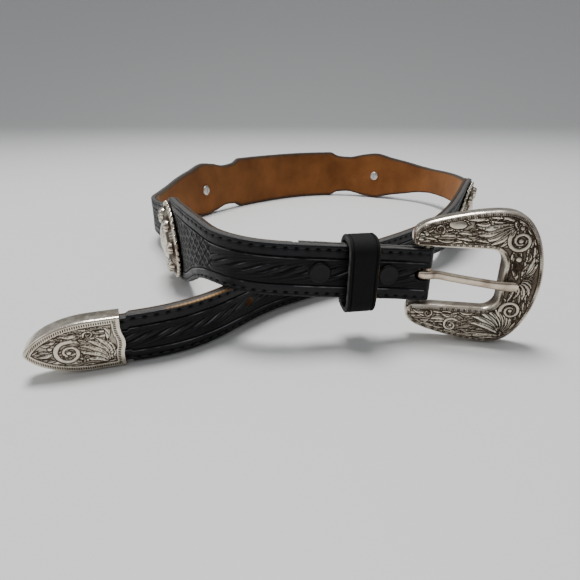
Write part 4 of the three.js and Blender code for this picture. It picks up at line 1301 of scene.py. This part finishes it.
# The leaves: foot, direction in degrees, length, greatest width and how far each bends to the left.
BUCKLE_LEAVES = [
    (25, 19.9, 170, 10.2, 2.2, -0.9),
    (25.2, 20.2, 176, 6.4, 1.6, -0.9),
    (24.9, 19.3, 187, 11.2, 2.4, 0.9),
    (24.9, 18.8, 198, 11.6, 2.2, 1),
    (25.1, 18.4, 209, 11.2, 2, 1),
    (25.4, 18, 221, 9.4, 1.9, 0.9),
    (25.8, 17.6, 236, 7.6, 1.8, 0.8),
    (26.4, 17.4, 252, 6.2, 1.4, 0.6),
    (12.4, 20.6, 184, 5.4, 1.5, 0.7),
    (5.4, 19.4, 196, 7.6, 1.7, -0.7),
    (13, 16.4, 168, 4.4, 1.5, 0.8),
    (13.2, 15.2, 182, 5, 1.5, -0.8),
    (8.6, 15.9, 172, 5, 1.7, 0.9),
    (8.4, 14.6, 186, 6.6, 1.5, -0.7),
    (13.4, 13.3, 176, 5.6, 1.3, -0.4),
    (8, 13.1, 178, 6, 1.3, 0.5),
    (3.4, 14.6, 172, 4.6, 1.4, 0.6),
    (2.4, 13.1, 176, 4.4, 1.2, -0.4),
    (0.6, 17.6, 214, 4.4, 1.4, -0.6),
    (18.6, 12.9, 176, 4.6, 1.2, -0.5),
    (26, 20.7, -12, 5.2, 1.5, -0.8),
    (29.2, 19.2, -44, 5, 1.5, -0.8),
    (32.2, 16, -64, 4.8, 1.5, -0.7),
    (33.6, 12.2, -76, 4.6, 1.4, -0.5),
    (27.4, 11, -70, 3.4, 1.2, 0.6),
    (31.2, 10.2, -96, 3.2, 1.2, 0.6),
    (30.7, 1.6, 38, 4.2, 1.4, -0.6),
    (30.5, 1.9, 55, 6.6, 1.6, -0.9),
    (30.3, 2.1, 72, 8, 1.8, -1),
    (30.1, 2.2, 90, 5.6, 1.5, -0.6),
    (30.7, 1.2, 12, 3.6, 1.2, -0.3),
    (30.7, 0.8, -14, 3.6, 1.2, 0.4),
    (30.5, 0.4, -36, 4.6, 1.5, 0.7),
    (30.3, 0, -56, 6.2, 1.7, 0.9),
    (30, -0.4, -76, 6.6, 1.7, 1),
    (29.6, -0.8, -98, 5.6, 1.5, 0.8),
    (28, 1.6, 118, 3, 1.1, -0.5),
    (33.9, -6.2, -88, 5.2, 1.5, 0.7),
    (33.4, -10.8, -106, 5.4, 1.5, 0.7),
    (28.2, -18.9, 34, 5, 1.5, -0.7),
    (28, -18.6, 56, 6, 1.6, -0.8),
    (27.8, -18.4, 78, 6.6, 1.7, -0.9),
    (27.5, -18.2, 97, 9, 2, -1),
    (27.2, -18.1, 113, 9.6, 2, -1.2),
    (26.9, -18.2, 127, 10.4, 2, -1.3),
    (26.7, -18.4, 140, 11.2, 2.1, -1.4),
    (26.6, -18.8, 152, 12, 2.1, -1.4),
    (26.6, -19.2, 164, 11.6, 2, -1.2),
    (26.8, -19.8, 177, 12.4, 2.2, 0.9),
    (27, -20.4, 187, 9, 1.8, 0.8),
    (12.8, -13.4, 176, 6.2, 1.5, 0.8),
    (17.6, -12.4, 172, 5.4, 1.3, 0.6),
    (8.6, -15.4, 186, 5.4, 1.6, -0.8),
    (8, -18.4, 172, 6.6, 1.6, 0.8),
    (7.6, -13, 178, 5.2, 1.2, -0.4),
    (3.2, -15.8, 184, 4.8, 1.5, 0.7),
    (1.8, -17.2, 160, 4.6, 1.5, 0.6),
    (-1, -14.4, 176, 2.6, 1.2, 0.4),
    (21.5, 21, 176, 6, 1.5, -0.2),
    (16.4, 20.4, 184, 6, 1.7, -0.25),
    (18.2, 19, 180, 5, 1.4, 0.3),
    (26.6, 6.9, 150, 2.6, 1, 0.3),
    (29.9, 4, 62, 3.4, 1.2, -0.4),
    (32.6, 8.6, 100, 4.4, 1.4, -0.6),
    (18.6, -20.6, 176, 6.2, 1.6, 0.3),
    (13.2, -20, 172, 5.2, 1.5, 0.2),
    (5.2, -18, 168, 5.6, 1.6, 0.4),
    (0.6, -16.8, 160, 3.6, 1.3, 0.4),
]
# The curls: middle, inner and outer radius, turns, first direction, width and hand.
BUCKLE_CURLS = [
    (27.9, 14.0, 1.1, 3.6, 1.45, 150, 1.5, 1),
    (29.0, -10.3, 1.0, 3.2, 1.4, 190, 1.4, -1),
    (10.6, -17.3, 0.8, 2.7, 1.15, 40, 1.2, 1),
    (3.0, 16.6, 0.5, 1.6, 1.1, 300, 0.8, 1),
    (2.6, -13.4, 0.5, 1.5, 1.1, 60, 0.8, -1),
]
# The balls: middle and radius.
BUCKLE_BALLS = [(27.6, 18.1, 0.75), (28.4, 7.9, 0.95), (-0.9, 14.9, 0.7), (16.2, 17.6, 0.5)]
ARM_LEAF_ROWS = (12.8, 14.7, 16.6, 18.5, 20.4)
SIDE_LEAF_ROWS = (26.4, 28.6, 30.8, 33)


def small_leaves(face, places, seed):
    """Small leaves close together, which fill the ground between the large ones."""
    dice = np.random.RandomState(seed)
    for x, y, angle in places:
        x, y = x + dice.uniform(-0.5, 0.5), y + dice.uniform(-0.35, 0.35)
        angle, bend = angle + dice.uniform(-16, 16), dice.uniform(-1.1, 1.1)
        face.leaf(x, y, angle, dice.uniform(4.2, 6.4), dice.uniform(0.9, 1.4), bend)


def buckle_engraving(x, y):
    """The buckle's face: leaves and scrolls that fill both arms and the right side."""
    face = Face(x, y)
    arms = [
        (x, side * y, 180)
        for side in (1, -1)
        for x in np.arange(-1, 27, 2.7)
        for y in ARM_LEAF_ROWS
    ]
    right = [(x, y, 90 if y > 0 else -90) for x in SIDE_LEAF_ROWS for y in np.arange(-17, 18, 2.9)]
    small_leaves(face, arms + right, 3)
    for row in BUCKLE_LEAVES:
        face.leaf(*row)
    face.oval(8.3, 18.4, 2.9, 1.5)
    for row in BUCKLE_CURLS:
        face.curl(*row)
    for row in BUCKLE_BALLS:
        face.ball(*row)
    spot = np.clip(1.8 - 1.2 * np.hypot((x - 28.6) / 1.5, (y - 5.3) / 1.3), 0, 0.95)
    face.cut = np.maximum(face.cut, spot)
    return face


def buckle_face(x, y):
    """Height and darkness of the buckle's face."""
    inset = distance_to(outline, x, y)
    face = buckle_engraving(x, y)
    face.border(inset, BUCKLE_BORDER, 0.85)
    z = BUCKLE_FRONT - rounded_off(inset, BUCKLE_BEVEL)
    z = z + ENGRAVED * (face.height - 0.85) * np.clip(inset / 1.0, 0, 1) + 0.35 * np.clip(inset / 4, 0, 1)
    return z, face.cut


face_z, _ = buckle_face(face_xy[..., 0], face_xy[..., 1])
lines = []
for line in (outer_line, inner_line):
    for z in (0.9, -0.2, -1.0, -1.35):
        lines.append(np.concatenate([line, np.full((len(line), 1), z)], 1))
outer_side, inner_side = lines[:4], lines[4:][::-1]
back_rows = []
for t in (0.03, 0.35, 0.65, 0.97):
    back = outer_line * (1 - t) + inner_line * t
    back_rows.append(np.concatenate([back, np.full((len(back), 1), BUCKLE_BACK)], 1))
face_points = np.concatenate([face_xy, face_z[..., None]], -1)
other_points = np.stack(outer_side + back_rows + inner_side, 1)
buckle = sheet_of("buckle_cast", np.concatenate([face_points, other_points], 1))
bpy.ops.mesh.primitive_cylinder_add(
    vertices=40, radius=BAR_RADIUS * MM, depth=2 * (OPEN_HALF + 1.5) * MM, rotation=(math.pi / 2, 0, 0)
)
bpy.ops.object.transform_apply(location=True, rotation=True, scale=True)
cut(buckle, bpy.context.object, "UNION")
flat = corners_of(buckle) / MM
edge_run = np.concatenate([outer_run, 2 * outer_run[-1] - outer_run[-2::-1]])[::3]
edge_length = np.zeros(len(flat))
step = 4000
for start in range(0, len(flat), step):
    near = flat[start : start + step, None, :2] - outer_line[None, ::3]
    nearest = np.argmin(np.hypot(near[..., 0], near[..., 1]), 1)
    edge_length[start : start + step] = edge_run[nearest]
_, dark = buckle_face(flat[:, 0], flat[:, 1])
on_top = flat[:, 2] > 1.2
inner_wall = (flat[:, 2] < 2.4) & (distance_to(half_open_closed, flat[:, 0], flat[:, 1]) < 0.9)
# Darker towards the right side, and on the inner wall of the opening.
darker_right_and_inner_wall = 0.24 * np.clip((flat[:, 0] - 17) / 7, 0, 1) + 0.35 * inner_wall
mark(buckle, "recess", np.where(on_top, dark, 0.15) + darker_right_and_inner_wall)
mark(buckle, "rim_along", edge_length)
mark(buckle, "rim_in", np.where(on_top, distance_to(outline, flat[:, 0], flat[:, 1]), 9))
buckle.data.materials.clear()
buckle.data.materials.append(nickel_silver)
BUCKLE_MATRIX = (
    Matrix.Translation((BAR[0] * MM, BAR[1] * MM, BUCKLE_HEIGHT * MM))
    @ Matrix.Rotation(math.radians(BUCKLE_SWING), 4, "Z")
    @ Matrix(((1, 0, 0, 0), (0, 0, -1, 0), (0, 1, 0, 0), (0, 0, 0, 1)))
)
buckle.data.transform(BUCKLE_MATRIX)
smooth(buckle, 55)
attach(buckle, "buckle_frame")
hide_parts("buckle")

# Prong
# A bent rod of slightly yellow nickel silver: its loop turns round the bar in the strap's slot, and its
# flattened end rests on the buckle's right side.
Section = namedtuple("Section", "x z thick wide")
SHANK = [
    Section(2.2, 2.2, 2.1, 2.9),
    Section(4.3, 1.6, 1.85, 2.9),
    Section(8.0, 2.4, 1.85, 2.9),
    Section(12.0, 3.2, 1.85, 2.9),
    Section(18.0, 4.2, 1.8, 2.9),
    Section(22.5, 4.78, 1.75, 3.0),
    Section(25.0, 4.85, 1.7, 3.3),
    Section(27.6, 4.68, 1.3, 3.4),
    Section(28.9, 4.6, 1.0, 2.7),
    Section(29.6, 4.52, 0.4, 1.2),
]
EYE_MIDDLE, EYE_THICK, EYE_WIDE = 2.6, 2.2, 2.9
PRONG_MIDDLE, PRONG_DROP, PRONG_LOOP, PRONG_TIP = 0.35, 1.65, 3.7, 29.6
YELLOW_BRIGHT = (0.8, 0.68, 0.54, 1)
YELLOW_WORN = (0.42, 0.32, 0.24, 1)
YELLOW_PAINTED_SHADE = (0.08, 0.055, 0.035, 1)

prong_metal, tree, shader = material("prong_metal", Metallic=1.0)
tone = mixed(tree, spread(tree, mottle(tree, 220, 4), 0.4, 0.7), YELLOW_BRIGHT, YELLOW_WORN)
tone = mixed(tree, times(tree, marked(tree, "recess"), 0.8), tone, YELLOW_PAINTED_SHADE)
join_to(
    tree,
    shader,
    Base_Color=tone,
    Roughness=spread(tree, mottle(tree, 800, 4), 0.3, 0.75, 0.1, 0.24),
    Normal=bumps(tree, (mottle(tree, 600, 3), 0.1, 0.0002)),
)
path = []
for turn in np.radians(np.linspace(330, 90, 40)):
    path.append((EYE_MIDDLE * math.cos(turn), EYE_MIDDLE * math.sin(turn), EYE_THICK, EYE_WIDE))
keys = [path[-1]] + SHANK
curves = [monotone([row[0] for row in keys], [row[k] for row in keys]) for k in (1, 2, 3)]
shank_x = list(np.linspace(0.4, 27.8, 62)) + [28.3, 28.7, 29.0, 29.25, 29.45, PRONG_TIP]
for x in shank_x:
    path.append((x, *[float(curve(x)) for curve in curves]))
path = np.array(path)
tangent = np.gradient(path[:, :2], axis=0)
tangent /= np.hypot(*tangent.T)[:, None]
normal = np.stack([-tangent[:, 1], tangent[:, 0]], -1)
turn = np.linspace(0, 2 * math.pi, 24, endpoint=False)
oval_y = np.sign(np.cos(turn)) * np.abs(np.cos(turn)) ** 0.72
oval_z = np.sign(np.sin(turn)) * np.abs(np.sin(turn)) ** 0.72
drop = PRONG_MIDDLE - PRONG_DROP * np.clip((path[:, 0] - PRONG_LOOP) / (PRONG_TIP - PRONG_LOOP), 0, 1)
ring = path[:, None, :2] + normal[:, None] * (oval_z[None, :, None] * path[:, 2][:, None, None] / 2)
ring_y = drop[:, None] + oval_y[None] * path[:, 3][:, None] / 2
prong = sheet_of("prong_rod", np.stack([ring[..., 0], ring_y, ring[..., 1]], -1))
flat = corners_of(prong) / MM
middle_y = np.interp(flat[:, 0], shank_x, drop[-len(shank_x) :])
# Painted shade: the rod is darker towards its lower side and at the root of its loop.
lower_side = np.clip((middle_y - flat[:, 1] + 0.1) / 1.3, 0, 1)
at_root = np.clip(1 - np.abs(flat[:, 0] - 3.0) / 1.2, 0, 1)
mark(prong, "recess", np.maximum(at_root * 0.8, 0.6 * lower_side))
prong.data.materials.append(prong_metal)
prong.data.transform(BUCKLE_MATRIX)
smooth(prong, 45)
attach(prong, "tongue")
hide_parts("prong")

# Metal tip
# A hollow cap of nickel silver over the strap's free end: plain round sides, a flat engraved face with a
# line of small wedge cuts round it, and a mouth cut like a bracket.
TIP_THICK = 5.9
TIP_WALL = 0.7
TIP_BEVEL = 0.75
TIP_BORDER = 2.2
TIP_BACK_ROWS = 9
MOUTH = [(0, 0.7), (1, 0.7), (3.4, 0.0), (5.4, -0.2), (9, 0.0)]


def mouth_x(y):
    smoothed = [np.interp(np.abs(y) + shift, *zip(*MOUTH)) for shift in (-0.6, -0.3, 0, 0.3, 0.6)]
    return sum(smoothed) / len(smoothed)


from_point = TIP_LENGTH * np.linspace(1, 0, 190) ** 1.7
tip_line = np.stack([from_point - TIP_LENGTH, tip_half(from_point)], -1)
tip_line_closed = np.concatenate([[[30, TIP_HALF]], tip_line, (tip_line * mirror)[::-1], [[30, -TIP_HALF]]])
# Leaves, curls and balls as on the buckle.
TIP_LEAVES = [
    (-3.6, -5.4, 80, 5.2, 1.5, -0.6),
    (-3.8, -5.6, 98, 7.8, 1.8, -1.0),
    (-4.0, -5.7, 114, 10.2, 2.0, -1.4),
    (-4.3, -5.8, 128, 11.2, 2.0, -1.6),
    (-4.6, -5.9, 141, 11.0, 2.0, -1.6),
    (-4.9, -6.0, 154, 9.0, 1.8, -1.3),
    (-5.2, -6.3, 168, 7.4, 1.6, -0.9),
    (-3.4, -4.6, 66, 3.0, 1.1, -0.4),
    (-4.4, 1.6, 96, 4.6, 1.4, -0.7),
    (-3.4, 3.2, 118, 3.4, 1.2, -0.5),
    (-12.0, 5.0, 176, 5.6, 1.5, 0.8),
    (-13.2, -5.4, 178, 4.4, 1.3, -0.5),
    (-19.6, 2.8, 168, 3.6, 1.3, 0.6),
    (-19.9, -0.4, 186, 4.4, 1.4, 0.6),
    (-19.4, -3.2, 196, 3.4, 1.2, -0.5),
    (-18.2, 4.0, 192, 3.4, 1.2, 0.5),
]


TIP_CURLS = [(-15.6, -1.2, 1.0, 4.2, 1.5, 70, 1.6, 1), (-9.4, 4.2, 0.5, 1.5, 1.1, 200, 0.8, -1)]
TIP_BALLS = [(-20.4, 1.2, 0.7), (-10.9, -4.6, 0.5)]
TIP_LEAF_ROWS = (-6.4, -4.4, -2.4, -0.4, 1.6, 3.6, 5.6)


def tip_insets(x, y):
    """Distances from the cap's round side and from its mouth."""
    return distance_to(tip_line_closed, x, y), np.maximum(mouth_x(y) - x - 0.3, 0)


def tip_face(x, y):
    """Height and darkness of the metal tip's face."""
    side_in, mouth_in = tip_insets(x, y)
    face = Face(x, y)
    small_leaves(face, [(x, y, 175) for x in np.arange(-3, -24, -2.9) for y in TIP_LEAF_ROWS], 8)
    for row in TIP_LEAVES:
        face.leaf(*row)
    for row in TIP_CURLS:
        face.curl(*row)
    for row in TIP_BALLS:
        face.ball(*row)
    face.border(np.minimum(side_in, mouth_in), TIP_BORDER, 0.9)
    z = TIP_THICK / 2 - rounded_off(side_in, TIP_BEVEL)
    return z + 0.26 * (face.height - 0.9) * np.clip(side_in / 1.0, 0, 1), face.cut


face_share = np.sin(np.linspace(math.pi / 2, -math.pi / 2, 74)) * 0.35 + np.linspace(1, -1, 74) * 0.65
back_share = np.linspace(-1, 1, TIP_BACK_ROWS)
ring_share = np.concatenate([face_share, [-1] * 3, back_share, [1] * 3])


def tip_rings(line, thick, bevel):
    """Rings from the mouth to the point: a flat face, the lower side, the back and the upper side."""
    x = line[:, :1]
    y = line[:, 1:] * ring_share[None]
    ring_x = x + mouth_x(y) * (1 - np.abs(x) / TIP_LENGTH) ** 6
    y[:, len(face_share) + 3 : -3] *= 0.98
    side = [thick / 2 - bevel - 0.3, 0, bevel - thick / 2]
    ring_z = [thick / 2] * len(face_share) + side + [-thick / 2] * TIP_BACK_ROWS + side[::-1]
    return np.stack([ring_x, y, np.array(ring_z)[None] + 0 * x], -1)


outer = tip_rings(tip_line, TIP_THICK, TIP_BEVEL)
on_face = outer[:, : len(face_share)]
on_face[..., 2], _ = tip_face(on_face[..., 0], on_face[..., 1])
hollow = tip_line[::6].copy()
hollow[:, 0] = np.maximum(hollow[:, 0], -TIP_LENGTH + TIP_WALL)
hollow[:, 1] = np.maximum(hollow[:, 1] - TIP_WALL, 0)
inner = tip_rings(hollow, TIP_THICK - 2 * TIP_WALL, 0.1)
tip = sheet_of("belt_tip_cap", np.concatenate([inner[::-1], outer]))
flat = corners_of(tip) / MM
near = np.argmin(np.abs(flat[:, :1] - tip_line[None, :, 0]), 1)
_, dark = tip_face(flat[:, 0], flat[:, 1])
side_in, mouth_in = tip_insets(flat[:, 0], flat[:, 1])
on_top = flat[:, 2] > TIP_THICK / 2 - 0.5
mark(tip, "recess", np.where(on_top, dark, 0.1))
mark(tip, "rim_along", np.where(mouth_in < side_in, flat[:, 1], lengths(tip_line)[near]))
mark(tip, "rim_in", np.where(on_top, np.minimum(side_in, mouth_in), 9))
tip.data.materials.append(nickel_silver)
lay(tip, TOTAL - TIP_LENGTH)
smooth(tip, 50)
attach(tip, "root")
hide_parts("belt_tip")

# Floor and light
# A plain pale floor that curves up far behind the belt, one soft light from above, a weak one from the
# left, and a pale surround that is brighter above, behind and to the left.
bpy.ops.object.select_all(action="DESELECT")
bpy.ops.mesh.primitive_grid_add(x_subdivisions=2, y_subdivisions=60, size=8, location=(0, 1.2, -0.0002))
floor = bpy.context.object
floor.name = "floor"
bpy.ops.object.transform_apply(location=True, rotation=False, scale=False)
rise = corners_of(floor)
past = np.maximum(rise[:, 1] - 1.6, 0)
rise[:, 2] += np.where(past > 0, 1.2 * (past / 1.6) ** 2, 0)
move(floor, rise)
pale, tree, shader = material("pale_floor", Roughness=0.6)
shader.inputs["Base Color"].default_value = (0.62, 0.62, 0.61, 1)
floor.data.materials.append(pale)
smooth(floor, 60)


def soft_light(name, place, size, power):
    """A round soft light that shines towards the middle of the belt."""
    lamp = bpy.data.lights.new(name, "AREA")
    lamp.shape = "DISK"
    lamp.size = size
    lamp.energy = power
    made = bpy.data.objects.new(name, lamp)
    made.location = place
    direction = np.array([0, 0, 0.02]) - np.array(place)
    yaw, drop = math.atan2(direction[1], direction[0]), math.hypot(direction[0], direction[1])
    made.rotation_euler = (math.atan2(drop, -direction[2]), 0, yaw - math.pi / 2)
    bpy.context.scene.collection.objects.link(made)


soft_light("key", (-0.1, 0.1, 1.1), 0.45, 17)
soft_light("fill", (-0.9, -0.35, 0.45), 0.6, 1.2)

world = bpy.data.worlds.new("surround")
bpy.context.scene.world = world
world.use_nodes = True
sky = world.node_tree
toward = node(sky, "ShaderNodeSeparateXYZ", None, _0=node(sky, "ShaderNodeTexCoord").outputs["Generated"])
height = spread(sky, toward.outputs[2], -0.05, 0.75, 0.24, 0.7)
depth_share = spread(sky, toward.outputs[1], -1.0, 1.0, 0.66, 1.15)
left_share = spread(sky, toward.outputs[0], -1.0, 1.0, 1.4, 0.75)
sky.nodes["Background"].inputs["Color"].default_value = (0.8, 0.82, 0.85, 1)
strength = times(sky, height, depth_share, left_share)
sky.links.new(strength, sky.nodes["Background"].inputs["Strength"])
